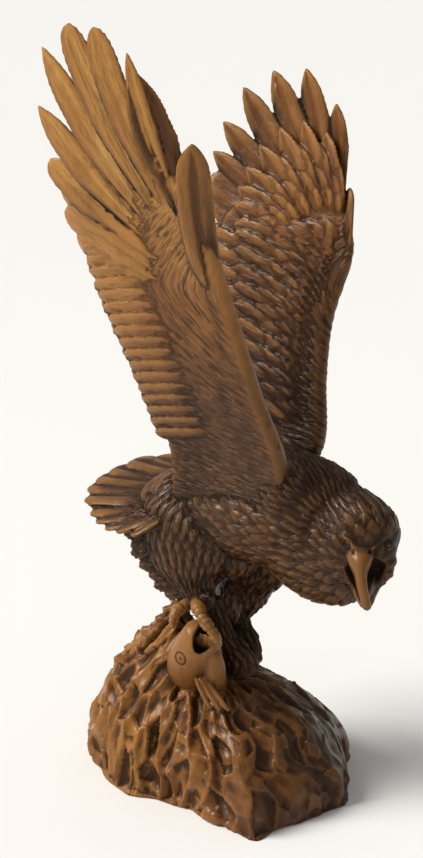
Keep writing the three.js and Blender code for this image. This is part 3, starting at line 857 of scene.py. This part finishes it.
# %% [markdown]
# So far there are only lists of numbers. Blender makes a mesh fastest when whole arrays are
# handed to it at once, and gives its points back in the same way. Arrays stay in
# millimetres, and Blender works in metres.

# %% Meshes from points, and back
def mesh_from(points, faces, name):
    mesh = bpy.data.meshes.new(name)
    mesh.vertices.add(len(points))
    mesh.vertices.foreach_set("co", np.asarray(points, np.float32).ravel())
    mesh.loops.add(len(faces) * 3)
    mesh.loops.foreach_set("vertex_index", np.asarray(faces, np.int32).ravel())
    mesh.polygons.add(len(faces))
    mesh.polygons.foreach_set("loop_start", np.arange(0, len(faces) * 3, 3, dtype=np.int32))
    mesh.update(calc_edges=True)
    return mesh


def read_points(mesh):
    """A mesh's points in millimetres."""
    points = np.empty(len(mesh.vertices) * 3, np.float32)
    mesh.vertices.foreach_get("co", points)
    return points.reshape(-1, 3).astype(float) / MM


def read_normals(mesh):
    normals = np.empty(len(mesh.vertices) * 3, np.float32)
    mesh.vertex_normals.foreach_get("vector", normals)
    return normals.reshape(-1, 3).astype(float)


def read_triangles(mesh):
    mesh.calc_loop_triangles()
    triangles = np.empty(len(mesh.loop_triangles) * 3, np.int32)
    mesh.loop_triangles.foreach_get("vertices", triangles)
    return triangles.reshape(-1, 3)


def gather(groups):
    """Points and faces of the shells in the named groups, in millimetres."""
    points, faces, count = [], [], 0
    for shell in shells:
        if shell["group"] in groups:
            points.append(shell["points"])
            faces.append(shell["faces"] + count)
            count += len(shell["points"])
    return np.concatenate(points), np.concatenate(faces)


def object_from(points, faces, name):
    thing = bpy.data.objects.new(name, mesh_from(points * MM, faces, name))
    bpy.context.collection.objects.link(thing)
    return thing


print("points in the shells:", {name: len(gather([name])[0]) for name in
                               ("mass", "detail", "mouth", "gullet")})

# %% [markdown]
# A voxel remesh turns overlapping closed shells into one skin, as if they had always been
# one block. Booleans could join them too, but hundreds of feathers would take long and
# leave sharp creases. The large masses are fused and softened first, so that the wings and
# thighs grow out of the body without seams. The two open mouths are cut into them.
# Feathers, beak and toes are then fused on with a finer voxel, which keeps them crisp.

# %% Fuse the shells into one skin
MASS_VOXEL, CUTTER_VOXEL, SKIN_VOXEL = 1.5, 0.6, 0.75
MASS_SOFTENING, SKIN_SOFTENING = 9, 2


def settle(thing):
    """Apply the object's modifiers to its mesh."""
    graph = bpy.context.evaluated_depsgraph_get()
    mesh = bpy.data.meshes.new_from_object(thing.evaluated_get(graph))
    thing.modifiers.clear()
    thing.data = mesh


def fuse(thing, voxel, softening):
    remesh = thing.modifiers.new("fuse", "REMESH")
    remesh.mode = "VOXEL"
    remesh.voxel_size = voxel * MM
    if softening:
        soften = thing.modifiers.new("soften", "SMOOTH")
        soften.factor = 0.5
        soften.iterations = softening
    settle(thing)


def cut(thing, group):
    tool = object_from(*gather([group]), "cutter")
    # A remeshed cutter has no doubled points, which the boolean would refuse
    fuse(tool, CUTTER_VOXEL, 0)
    boolean = thing.modifiers.new("cut", "BOOLEAN")
    boolean.operation = "DIFFERENCE"
    boolean.solver = "MANIFOLD"
    boolean.object = tool
    settle(thing)
    bpy.data.objects.remove(tool)


started = time.time()
masses = object_from(*gather(["mass"]), "masses")
fuse(masses, MASS_VOXEL, MASS_SOFTENING)
cut(masses, "mouth")
cut(masses, "gullet")
mass_points, mass_faces = read_points(masses.data), read_triangles(masses.data)
bpy.data.objects.remove(masses)
detail_points, detail_faces = gather(["detail"])
carving = object_from(np.concatenate([mass_points, detail_points]),
                      np.concatenate([mass_faces, detail_faces + len(mass_points)]), "eagle")
fuse(carving, SKIN_VOXEL, SKIN_SOFTENING)
print("fused skin:", len(carving.data.vertices), "points in", round(time.time() - started, 1), "s")

# %% [markdown]
# The remesh forgets what each shell was. So each point of the skin looks up the nearest
# shell, and takes over its kind of surface, its flow coordinates and its tone by blending
# the three corners of the face that it hits.

# %% Look up what lies where
all_points, all_faces = gather(["mass", "detail", "mouth", "gullet"])
point_values = np.concatenate([shell["values"] for shell in shells])
point_kind = np.concatenate([np.full(len(shell["points"]), shell["kind"]) for shell in shells])
point_shell = np.concatenate([np.full(len(shell["points"]), i) for i, shell in enumerate(shells)])
nearest = BVHTree.FromPolygons(all_points.tolist(), all_faces.tolist(), all_triangles=True)


def look_up(points):
    """Flow, tone and strokes, then kind and shell, of the nearest shell surface."""
    spot = np.empty((len(points), 3))
    face = np.empty(len(points), int)
    find = nearest.find_nearest
    for i, point in enumerate(points.tolist()):
        hit = find(point)
        spot[i] = hit[0]
        face[i] = hit[2]
    corners = all_faces[face]
    a, b, c = (all_points[corners[:, k]] for k in range(3))
    normal = np.cross(b - a, c - a)
    size = (normal ** 2).sum(1) + 1e-12
    wb = (np.cross(spot - a, c - a) * normal).sum(1) / size
    wc = (np.cross(b - a, spot - a) * normal).sum(1) / size
    weights = np.clip(np.stack([1 - wb - wc, wb, wc], 1), 0, 1)
    values = (point_values[corners] * weights[..., None]).sum(1)
    return values, point_kind[corners[:, 0]], point_shell[corners[:, 0]]


started = time.time()
skin_points = read_points(carving.data)
values, kind, shell_id = look_up(skin_points)
print("looked up in", round(time.time() - started, 1), "s; points of each kind:",
      {name: int((kind == i).sum()) for i, name in enumerate(KINDS)})

# %% [markdown]
# A gouge leaves round hollows side by side, never two alike. Scattered cells give such a
# pattern: every point belongs to the nearest of many centres. Slow waves bend the rows, as
# a hand does.

# %% Scattered cells and waves
def scatter(i, j, seed):
    """Repeatable numbers from 0 to 1 for whole-number places."""
    value = np.sin(i * 127.1 + j * 311.7 + seed * 74.7) * 43758.5453
    return value - np.floor(value)


def cells(u, v, length, width, seed, jitter=0.8):
    """Distance to the nearest of the scattered centres, and a chance number of its own."""
    a, b = u / length, v / width
    nearest_yet = np.full(a.shape, 9.0)
    chance = np.zeros(a.shape)
    column = np.floor(b)
    for step_b in (-1, 0, 1):
        cb = column + step_b
        shifted = a + scatter(cb, cb * 0 + 3.0, seed)
        row = np.floor(shifted)
        for step_a in (-1, 0, 1):
            ca = row + step_a
            da = shifted - (ca + 0.5 + jitter * (scatter(ca, cb, seed) - 0.5))
            db = b - (cb + 0.5 + jitter * (scatter(cb, ca, seed + 1) - 0.5))
            distance = np.sqrt((0.85 * da) ** 2 + db ** 2)
            closer = distance < nearest_yet
            chance = np.where(closer, scatter(ca, cb, seed + 2), chance)
            nearest_yet = np.where(closer, distance, nearest_yet)
    return nearest_yet, chance


def waves(points, length, seed):
    """Smooth swelling from about -1 to 1, made of a few crossing sine waves."""
    total = np.zeros(len(points))
    for k in range(5):
        direction = unit(np.array([scatter(k, 1.0, seed) - 0.5, scatter(k, 2.0, seed) - 0.5,
                                   scatter(k, 3.0, seed) - 0.5]))
        total += np.sin(points @ direction * (2 * math.pi / length) * (0.7 + 0.2 * k) + 9 * k)
    return total / 2.5


print("a chance number:", round(float(scatter(2.0, 3.0, 5)), 4))

# %% [markdown]
# The rock is scooped in two sizes of hollow. The large ones are deeper on its left, where
# the carver cut boldly, and calmer on its right. Nothing is cut into the flat underside.

# %% Hollows of the rock
HOLLOW_LENGTH, HOLLOW_WIDTH, HOLLOW_DEPTH = 23.0, 15.0, 6.8
NICK_LENGTH, NICK_WIDTH, NICK_DEPTH = 10.0, 8.0, 1.1
ROCK_WAVES = 46.0


def rock_depth(points, normals, u, v):
    wander = waves(points, ROCK_WAVES, 4)
    near, chance = cells(u + 6 * wander, v + 5 * wander, HOLLOW_LENGTH, HOLLOW_WIDTH, 5)
    scoop = np.clip(1 - (near / 0.78) ** 2, 0, 1) * (0.2 + 1.1 * chance)
    near, chance = cells(u, v + 2 * wander, NICK_LENGTH, NICK_WIDTH, 6)
    nick = np.clip(1 - (near / 0.75) ** 2, 0, 1) * (chance > 0.4)
    calm = np.interp(points[:, 0] + 0.4 * points[:, 1], [-20, 60], [1.0, 0.5])
    depth = calm * (2.0 + 1.6 * wander - HOLLOW_DEPTH * scoop) - NICK_DEPTH * nick
    underside = normals[:, 2] < -0.4
    return np.where(underside, 0, depth)


rock = kind == KINDS.index("rock")
print("points of rock:", int(rock.sum()))

# %% [markdown]
# Feathers on head, body and thighs are cut as pointed locks in rows. A lock rises towards
# its tip, stands proud of the next one's root, and has a groove around its edge. On head
# and body all rows run in rings around the beak's root, so that they sweep back over crown
# and cheeks. Separate meshes for the locks would be far too many triangles.

# %% Feathers in rows
BEAK_ROOT = on_head(14.0, 4.0, 2.0)
SPINE = unit(np.array([0.75, -0.35, -0.45]))
SPINE_SIDE = unit(np.cross(SPINE, [0.0, 0.0, 1.0]))
SPINE_UP = np.cross(SPINE_SIDE, SPINE)
LOCK_LENGTH, LOCK_WIDTH, LOCK_WAVES = 6.5, 4.2, 34.0
# How wide a ring of locks is at some distances from the beak's root, as a radius
RING_DISTANCES, RING_RADII = [5, 15, 30, 60, 100], [8, 15, 25, 32, 34]
# Kind, length, width and height of the locks elsewhere
OTHER_LOCKS = (("tuft", 6.0, 4.8, 3.0), ("hair", 8.0, 4.0, 0.9))


def around_face(points):
    """Flow of head and body: distance from the beak's root, and turn around the spine."""
    offset = points - BEAK_ROOT
    return np.linalg.norm(offset, axis=1), np.arctan2(offset @ SPINE_SIDE, offset @ SPINE_UP)


def plumage(u, v, length, per_row, seed):
    """Lift of the locks' faces, and how near each point is to a lock's edge.
    per_row(k) tells how many locks of row k lie side by side in one unit of v."""
    best = np.full(u.shape, -1.0)
    edge = np.ones(u.shape)
    row = np.floor(u / length)
    for back in (0, 1, 2):
        k = row - back
        for step in (-1, 0, 1):
            shifted = v * per_row(k) + 0.5 * (k % 2) + 0.7 * scatter(k, 1.0 + 0 * k, seed)
            i = np.floor(shifted) + step
            chance, other = scatter(k, i, seed), scatter(i, k, seed + 1)
            along = (u / length - k - 0.6 * other) / (2.1 + 0.5 * chance)
            across = np.abs(shifted - i - 0.5 - 0.3 * (other - 0.5)) * 2
            reach = 1.7 * (1 - np.clip(along, 0, 1) ** 1.8) ** 0.8
            inside = (along > 0) & (along < 1) & (across < reach)
            lift = 0.35 + 0.65 * along - 0.22 * across ** 2 + 0.15 * (chance - 0.5)
            better = inside & (lift > best)
            best = np.where(better, lift, best)
            edge = np.where(better, 1 - np.clip((reach - across) / 0.35, 0, 1), edge)
    return np.clip(best, 0, 1.2), edge


def locks_in_ring(k):
    radius = np.interp(k * LOCK_LENGTH, RING_DISTANCES, RING_RADII)
    return np.round(2 * math.pi * radius / LOCK_WIDTH) / (2 * math.pi)


def lock_depth(points):
    away, turn = around_face(points)
    growth = np.interp(away, [12, 45, 90, 150, 175], [0.7, 1.0, 0.85, 0.7, 0.4])
    wandering = away + 1.5 * waves(points, LOCK_WAVES, 7)
    lift, edge = plumage(wandering, turn, LOCK_LENGTH, locks_in_ring, 21)
    return growth * (3.0 * lift - 2.3 - 1.0 * edge)


print("locks in a ring 60 mm from the beak:", round(locks_in_ring(60 / LOCK_LENGTH) * 2 * math.pi))

# %% [markdown]
# All relief comes together as one depth for each point, below zero where wood is cut away.
# Where two forms meet, their patterns would clash in a step. So the depths are evened out
# along those seams, over a few rings of points.

# %% Depth of the relief
BAND_LENGTH, BAND_DEPTH = 3.4, 0.45
BLEND_ROUNDS = 4


def relief(points, normals, values, kind):
    u, v, strokes = values[:, 0], values[:, 1], values[:, 3]
    depth = np.zeros(len(points))
    part = {name: kind == i for i, name in enumerate(KINDS)}
    rock, lock, scute = part["rock"], part["lock"], part["scute"]
    depth[rock] = rock_depth(points[rock], normals[rock], u[rock], v[rock])
    depth[lock] = lock_depth(points[lock])
    for name, length, width, height in OTHER_LOCKS:
        here = part[name]
        lift, edge = plumage(u[here], v[here], length, lambda k: 1 / width, 11)
        depth[here] = height * (lift - 0.8 - 0.3 * edge) * np.minimum(1, strokes[here] * 1.3)
    depth[scute] = -BAND_DEPTH * np.abs(np.cos(math.pi * u[scute] / BAND_LENGTH)) ** 6
    return depth


def edge_ends(mesh):
    ends = np.empty(len(mesh.edges) * 2, np.int32)
    mesh.edges.foreach_get("vertices", ends)
    return ends.reshape(-1, 2).T


def blend(mesh, depth, shell_id):
    """Even the depths out where one shell's surface gives way to another's."""
    a, b = edge_ends(mesh)
    count = np.bincount(a, minlength=len(depth)) + np.bincount(b, minlength=len(depth)) + 1e-9

    def average(numbers):
        total = np.bincount(a, numbers[b], len(depth)) + np.bincount(b, numbers[a], len(depth))
        return total / count

    seam = np.zeros(len(depth))
    changes = shell_id[a] != shell_id[b]
    seam[a[changes]] = 1
    seam[b[changes]] = 1
    smooth = depth
    for _ in range(BLEND_ROUNDS):
        smooth = average(smooth)
        seam = np.maximum(seam, np.minimum(1, 1.2 * average(seam)))
    return depth * (1 - seam) + smooth * seam


normals = read_normals(carving.data)
depth = blend(carving.data, relief(skin_points, normals, values, kind), shell_id)
print("relief from", round(float(depth.min()), 1), "to", round(float(depth.max()), 1), "mm")

# %% [markdown]
# Last come the small cuts: two nostrils in the beak, and a ring with a pupil for each eye of bird
# and fish. They are round, so a distance from a short line is all they need. The cuts also say
# where the colour is darkened: painted shade in the nostrils' pits, and darker rings and pupils
# for the eyes.

# %% Nostrils and eyes
NOSTRIL_RADIUS, NOSTRIL_DEPTH = 1.5, 1.3
RING_HALF, RING_DEPTH = 0.8, 0.7
PUPIL_RADIUS, PUPIL_DEPTH = 1.3, 0.6
CUT_REACH, FAR_AWAY = 9.0, 99.0
NOSTRILS = [on_head(11.6, 13, 10.6), on_head(12.0, 14, 0.6)]
# Each eye: its centre, the way it looks, its ring's radius
EYES = [
    (place([-11.0, -46.0, 22.5]), unit(np.array([0.1, -0.95, 0.25])), 4.0),
    (on_head(7, 12, -10.8), unit(CROWN - 0.35 * SIDEWAYS), 2.3),
    (on_head(6.5, 11, 13.0), unit(CROWN + 0.4 * SIDEWAYS), 2.2),
]


def from_axis(points, centre, direction):
    """Distance of each point from a short line through centre."""
    offset = points - centre
    along = offset @ direction
    distance = np.linalg.norm(offset - along[:, None] * direction, axis=1)
    return np.where(np.abs(along) < CUT_REACH, distance, FAR_AWAY)


def small_cuts(points):
    """Depths of nostrils and eyes, and how much their colour is darkened: painted shade in the
    nostrils, darker rings and pupils in the eyes.
    """
    depth, dark = np.zeros(len(points)), np.zeros(len(points))
    for nostril in NOSTRILS:
        pit = np.clip(1 - from_axis(points, nostril, CROWN) / NOSTRIL_RADIUS, 0, 1)
        depth -= NOSTRIL_DEPTH * pit
        dark = np.maximum(dark, np.minimum(1, 3 * pit))
    for centre, out, radius in EYES:
        away = from_axis(points, centre, out)
        line = np.clip(1 - np.abs(away - radius) / RING_HALF, 0, 1)
        pupil = np.clip(1 - away / PUPIL_RADIUS, 0, 1)
        depth -= RING_DEPTH * line + PUPIL_DEPTH * pupil
        dark = np.maximum(dark, np.maximum(line, pupil))
    return depth, dark


depth += small_cuts(skin_points)[0]
print("points in nostrils and eyes:", int((small_cuts(skin_points)[1] > 0).sum()))

# %% [markdown]
# Cutting means moving each point along its normal by its depth. The points are held in the box of
# the solid that stands for the carving in the physics, so that none grows past it.

# %% Carve
carved = skin_points + normals * depth[:, None]
low, high = np.array(cad_box[0]) / MM, np.array(cad_box[1]) / MM
carved = np.clip(carved, low, high)
carving.data.vertices.foreach_set("co", (carved * MM).astype(np.float32).ravel())
carving.data.update()
print("carved", len(carved), "points")

# %% [markdown]
# The carved skin has far more triangles than its flatter parts need. Collapsing edges
# keeps them where the relief is sharp and brings the piece under its limit.

# %% Thin the skin out
TRIANGLES = 190_000


def thin(thing, triangles):
    modifier = thing.modifiers.new("thin", "DECIMATE")
    modifier.ratio = min(1.0, triangles / len(read_triangles(thing.data)))
    modifier.use_collapse_triangulate = True
    settle(thing)


started = time.time()
thin(carving, TRIANGLES)
print("thinned skin:", len(read_triangles(carving.data)), "triangles in",
      round(time.time() - started, 1), "s")

# %% [markdown]
# The finish needs to know, at each point, which way the strokes run, how light the tone is and how
# deep the point lies, because stain and painted shade keep the recesses dark, and wear with
# painted highlights keeps the ridges light. These could be painted as images, but attributes
# stored on the mesh need no unwrapping.

# %% Store what the finish needs
# How far handling has rubbed each kind of surface, and how much painted highlight its ridges get
WEAR_AND_HIGHLIGHT = {
    "smooth": 0.2, "rock": 0.14, "quill": 0.4, "hair": 0.2, "lock": 0.14, "tuft": 0.14,
    "scute": 0.4,
}
RECESS_ROUNDS, ROCK_RECESS = 4, 1.1
# Millimetres for one radian around the spine, and a shift of the pattern from shell to shell
STROKE_RADIUS, SHELL_SHIFT = 30.0, 0.37


def recess(mesh, points):
    """How far each point lies below the average of its neighbours, along its normal."""
    a, b = edge_ends(mesh)
    count = np.bincount(np.concatenate([a, b]), minlength=len(points)) + 1e-9
    smooth = points.copy()
    for _ in range(RECESS_ROUNDS):
        smooth = np.column_stack([
            (np.bincount(a, smooth[b, k], len(points)) + np.bincount(b, smooth[a, k], len(points)))
            / count for k in range(3)])
    return ((smooth - points) * read_normals(mesh)).sum(1)


def store(mesh, name, values, kind="FLOAT"):
    attribute = mesh.attributes.new(name, kind, "POINT")
    field = "vector" if kind == "FLOAT_VECTOR" else "value"
    attribute.data.foreach_set(field, np.asarray(values, np.float32).ravel())


final_points = read_points(carving.data)
values, kind, shell_id = look_up(final_points)
dark = small_cuts(final_points)[1]
locks = kind == KINDS.index("lock")
away, turn = around_face(final_points)
flow = np.where(locks[:, None], np.column_stack([away, turn * STROKE_RADIUS]), values[:, :2]) * MM
pattern = np.where(locks, 0.0, shell_id * SHELL_SHIFT)
depths = recess(carving.data, final_points)
depths *= np.where(kind == KINDS.index("rock"), ROCK_RECESS, 1.0)
store(carving.data, "flow", np.column_stack([flow, pattern]), "FLOAT_VECTOR")
# The tone is darkened in the nostrils as painted shade, and in the eyes' rings and pupils.
store(carving.data, "tone", values[:, 2] * (1 - 0.9 * dark))
store(carving.data, "strokes", values[:, 3])
store(carving.data, "wear_and_highlight", np.array([WEAR_AND_HIGHLIGHT[name] for name in KINDS])[kind])
store(carving.data, "recess", depths)
carving.data.polygons.foreach_set("use_smooth", np.ones(len(carving.data.polygons), bool))
print("recess from", round(float(np.percentile(depths, 2)), 2), "to",
      round(float(np.percentile(depths, 98)), 2), "mm")

# %% [markdown]
# The wood is a brown hardwood with an upright grain, stained, rubbed back and waxed. One
# material serves the whole block, since the real one is one piece of wood. Its nodes are
# built with a few short helpers, each of which returns the socket that it made.

# %% Start the waxed wood
wood = bpy.data.materials.new("waxed_wood")
wood.use_nodes = True
nodes, links = wood.node_tree.nodes, wood.node_tree.links
nodes.clear()


def node(kind, **settings):
    made = nodes.new(kind)
    for name, value in settings.items():
        setattr(made, name, value)
    return made


def feed(value, socket):
    if isinstance(value, bpy.types.NodeSocket):
        links.new(value, socket)
    else:
        socket.default_value = value


def attribute(name, output_name="Fac"):
    return node("ShaderNodeAttribute", attribute_name=name).outputs[output_name]


def maths(operation, a, b=0.0, c=0.0, clamp=False):
    made = node("ShaderNodeMath", operation=operation, use_clamp=clamp)
    for value, socket in zip((a, b, c), made.inputs):
        feed(value, socket)
    return made.outputs[0]


def spread(value, low, high, to_low=0.0, to_high=1.0):
    made = node("ShaderNodeMapRange", clamp=True)
    for item, socket in zip((value, low, high, to_low, to_high), made.inputs):
        feed(item, socket)
    return made.outputs[0]


def noise(vector, scale, detail, roughness):
    made = node("ShaderNodeTexNoise")
    links.new(vector, made.inputs["Vector"])
    made.inputs["Scale"].default_value = scale
    made.inputs["Detail"].default_value = detail
    made.inputs["Roughness"].default_value = roughness
    return made.outputs["Fac"]


def stretched(vector, scale):
    made = node("ShaderNodeVectorMath", operation="MULTIPLY")
    links.new(vector, made.inputs[0])
    made.inputs[1].default_value = scale
    return made.outputs[0]


def mix(factor, a, b):
    made = node("ShaderNodeMix", data_type="RGBA", clamp_factor=True)
    feed(factor, made.inputs[0])
    feed(a, made.inputs[6])
    feed(b, made.inputs[7])
    return made.outputs[2]


print("new material:", wood.name)

# %% [markdown]
# Wood's colour: each form's tone, which also holds some painted light and shade, is varied by fine
# upright grain, by wider bands of growth and by cloudy patches of stain, and a ramp turns the sum
# into browns.

# %% Colour of the wood
WOOD_TONES = [
    (0.0, (0.008, 0.0035, 0.0015)), (0.2, (0.046, 0.016, 0.005)), (0.42, (0.170, 0.063, 0.014)),
    (0.65, (0.370, 0.170, 0.040)), (0.9, (0.620, 0.350, 0.100)),
]
in_block = node("ShaderNodeTexCoord").outputs["Object"]
grain = noise(stretched(in_block, (1.0, 1.0, 0.07)), 260.0, 4.0, 0.6)
bands = noise(stretched(in_block, (1.0, 1.0, 0.12)), 34.0, 3.0, 0.5)
patches = noise(in_block, 16.0, 3.0, 0.6)
light = maths("ADD", attribute("tone"), maths("MULTIPLY_ADD", bands, 0.30, -0.15))
light = maths("ADD", light, maths("MULTIPLY_ADD", patches, 0.34, -0.17))
light = maths("ADD", light, maths("MULTIPLY_ADD", grain, 0.14, -0.07))
ramp = node("ShaderNodeValToRGB")
links.new(light, ramp.inputs["Fac"])
stops = ramp.color_ramp.elements
stops[0].position, stops[0].color = WOOD_TONES[0][0], (*WOOD_TONES[0][1], 1)
stops[1].position, stops[1].color = WOOD_TONES[-1][0], (*WOOD_TONES[-1][1], 1)
for position, colour in WOOD_TONES[1:-1]:
    stops.new(position).color = (*colour, 1)
print("browns in the ramp:", len(stops))

# %% [markdown]
# Dark stain, with painted shade, lies in the cuts of a V-shaped tool, which follow each form's
# flow in two sizes, and in the recesses between feathers. Ridges are rubbed back to lighter wood
# and painted lighter still, as where they catch the light.

# %% Stain and wear, with painted shade and highlights
STAIN_AND_SHADE_COLOUR = (0.010, 0.005, 0.003, 1)
WORN_AND_LIT_EDGE = (0.48, 0.22, 0.06, 1)
flow, amount = attribute("flow", "Vector"), attribute("strokes")
cuts = spread(noise(stretched(flow, (95.0, 560.0, 9.0)), 1.0, 1.5, 0.5), 0.50, 0.36)
hairs = spread(noise(stretched(flow, (120.0, 1200.0, 5.0)), 1.0, 1.0, 0.5), 0.52, 0.36)
cut_depth = maths("MULTIPLY", cuts, amount)
hair_depth = maths("MULTIPLY", hairs, amount)
deep = spread(attribute("recess"), 0.08, 0.6)
# Ridges take a lighter colour: partly real wear, partly painted highlight where their edges catch
# the light.
worn_and_lit = spread(attribute("recess"), -0.1, -0.45)
# Tool cuts and recesses take the dark colour: partly real stain, partly painted shade.
stain_and_shade = maths("MAXIMUM", maths("MULTIPLY", cut_depth, 0.7), maths("MULTIPLY", deep, 0.75))
stain_and_shade = maths("MAXIMUM", stain_and_shade, maths("MULTIPLY", hair_depth, 0.25), clamp=True)
colour = mix(maths("MULTIPLY", worn_and_lit, attribute("wear_and_highlight")), ramp.outputs["Color"], WORN_AND_LIT_EDGE)
colour = mix(stain_and_shade, colour, STAIN_AND_SHADE_COLOUR)
print("sockets made for stain and wear:", stain_and_shade.name, colour.name)

# %% [markdown]
# The wax gives a semi-gloss that is duller where stain and painted shade sit, and none gets into
# the open mouths. Tool strokes and pores are too fine for the mesh, so they also raise a bump.

# %% Wax, and the piece's place in the frame
BUMP_STRENGTH, BUMP_DISTANCE = 0.9, 0.0009
rough = maths("MULTIPLY_ADD", grain, 0.18, 0.26)
rough = maths("ADD", rough, maths("MULTIPLY", stain_and_shade, 0.2))
rough = maths("ADD", rough, spread(attribute("tone"), 0.11, 0.07, 0.0, 0.5), clamp=True)
height = maths("MULTIPLY", cut_depth, -0.8)
height = maths("ADD", height, maths("MULTIPLY", hair_depth, -0.3))
height = maths("ADD", height, maths("MULTIPLY", grain, 0.12))
bump = node("ShaderNodeBump")
bump.inputs["Strength"].default_value = BUMP_STRENGTH
bump.inputs["Distance"].default_value = BUMP_DISTANCE
links.new(height, bump.inputs["Height"])
shader = node("ShaderNodeBsdfPrincipled")
links.new(colour, shader.inputs["Base Color"])
links.new(rough, shader.inputs["Roughness"])
links.new(bump.outputs["Normal"], shader.inputs["Normal"])
shader.inputs["Coat Weight"].default_value = 0.1
shader.inputs["Coat Roughness"].default_value = 0.2
shader.inputs["Specular IOR Level"].default_value = 0.26
shader.inputs["Specular Tint"].default_value = (1.0, 0.80, 0.62, 1)
links.new(shader.outputs["BSDF"], node("ShaderNodeOutputMaterial").inputs["Surface"])
carving.data.materials.clear()
carving.data.materials.append(wood)
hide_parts("eagle_carving")
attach(carving, "root")
print("nodes in the material:", len(nodes))

# %% [markdown]
# The floor is plain and pale and runs far enough to fill the view.

# %% Floor
FLOOR_HALF = 20.0
FLOOR_COLOUR = (0.88, 0.87, 0.84, 1)
floor_mesh = bpy.data.meshes.new("floor")
floor_mesh.from_pydata([(-FLOOR_HALF, -FLOOR_HALF, 0), (FLOOR_HALF, -FLOOR_HALF, 0),
                        (FLOOR_HALF, FLOOR_HALF, 0), (-FLOOR_HALF, FLOOR_HALF, 0)], [],
                       [(0, 1, 2, 3)])
floor = bpy.data.objects.new("floor", floor_mesh)
bpy.context.collection.objects.link(floor)
floor_material = bpy.data.materials.new("pale_floor")
floor_material.use_nodes = True
floor_shader = floor_material.node_tree.nodes["Principled BSDF"]
floor_shader.inputs["Base Color"].default_value = FLOOR_COLOUR
floor_shader.inputs["Roughness"].default_value = 0.9
floor_shader.inputs["Specular IOR Level"].default_value = 0.1
floor_mesh.materials.append(floor_material)
print("floor is", 2 * FLOOR_HALF, "m wide")

# %% [markdown]
# Soft daylight falls from the front left, high up. A sun lamp with a wide angle gives it,
# with a soft shadow that leaves no pool of light on the floor. A small weak lamp on the same
# side adds the glints on the wax, and the surroundings are a pale grey that fills the shadows.

# %% Lights
SKY_POWER, SKY_ANGLE, SKY_FROM = 3.5, math.radians(30), (-0.66, -0.55, 0.74)
WINDOW_PLACE, WINDOW_SIZE, WINDOW_WATTS = (-1.05, -1.05, 1.25), 0.5, 3.5
LAMP_AIM = (0.0, 0.0, 0.22)
AIR_COLOUR, AIR_STRENGTH = (0.97, 0.97, 0.96, 1), 0.36


def lamp(name, kind, power, colour, direction):
    """Lamp of a kind that shines from a direction."""
    data = bpy.data.lights.new(name, kind)
    data.energy = power
    data.color = colour
    thing = bpy.data.objects.new(name, data)
    thing.rotation_euler = Vector(direction).to_track_quat("Z", "Y").to_euler()
    bpy.context.collection.objects.link(thing)
    return thing


window = lamp("window", "AREA", WINDOW_WATTS, (1.0, 0.98, 0.95),
              Vector(WINDOW_PLACE) - Vector(LAMP_AIM))
window.location = WINDOW_PLACE
window.data.size = WINDOW_SIZE
sky = lamp("sky", "SUN", SKY_POWER, (1.0, 0.985, 0.96), SKY_FROM)
sky.data.angle = SKY_ANGLE
air = bpy.data.worlds.new("studio")
air.use_nodes = True
air.node_tree.nodes["Background"].inputs["Color"].default_value = AIR_COLOUR
air.node_tree.nodes["Background"].inputs["Strength"].default_value = AIR_STRENGTH
bpy.context.scene.world = air
bpy.context.scene.view_settings.view_transform = "Standard"
print("lamps:", window.name, "and", sky.name)

# %% [markdown]
# The solid's box is written down once more at the end.

# %% Sizes, and the end
print("solid's box:", cad_box)
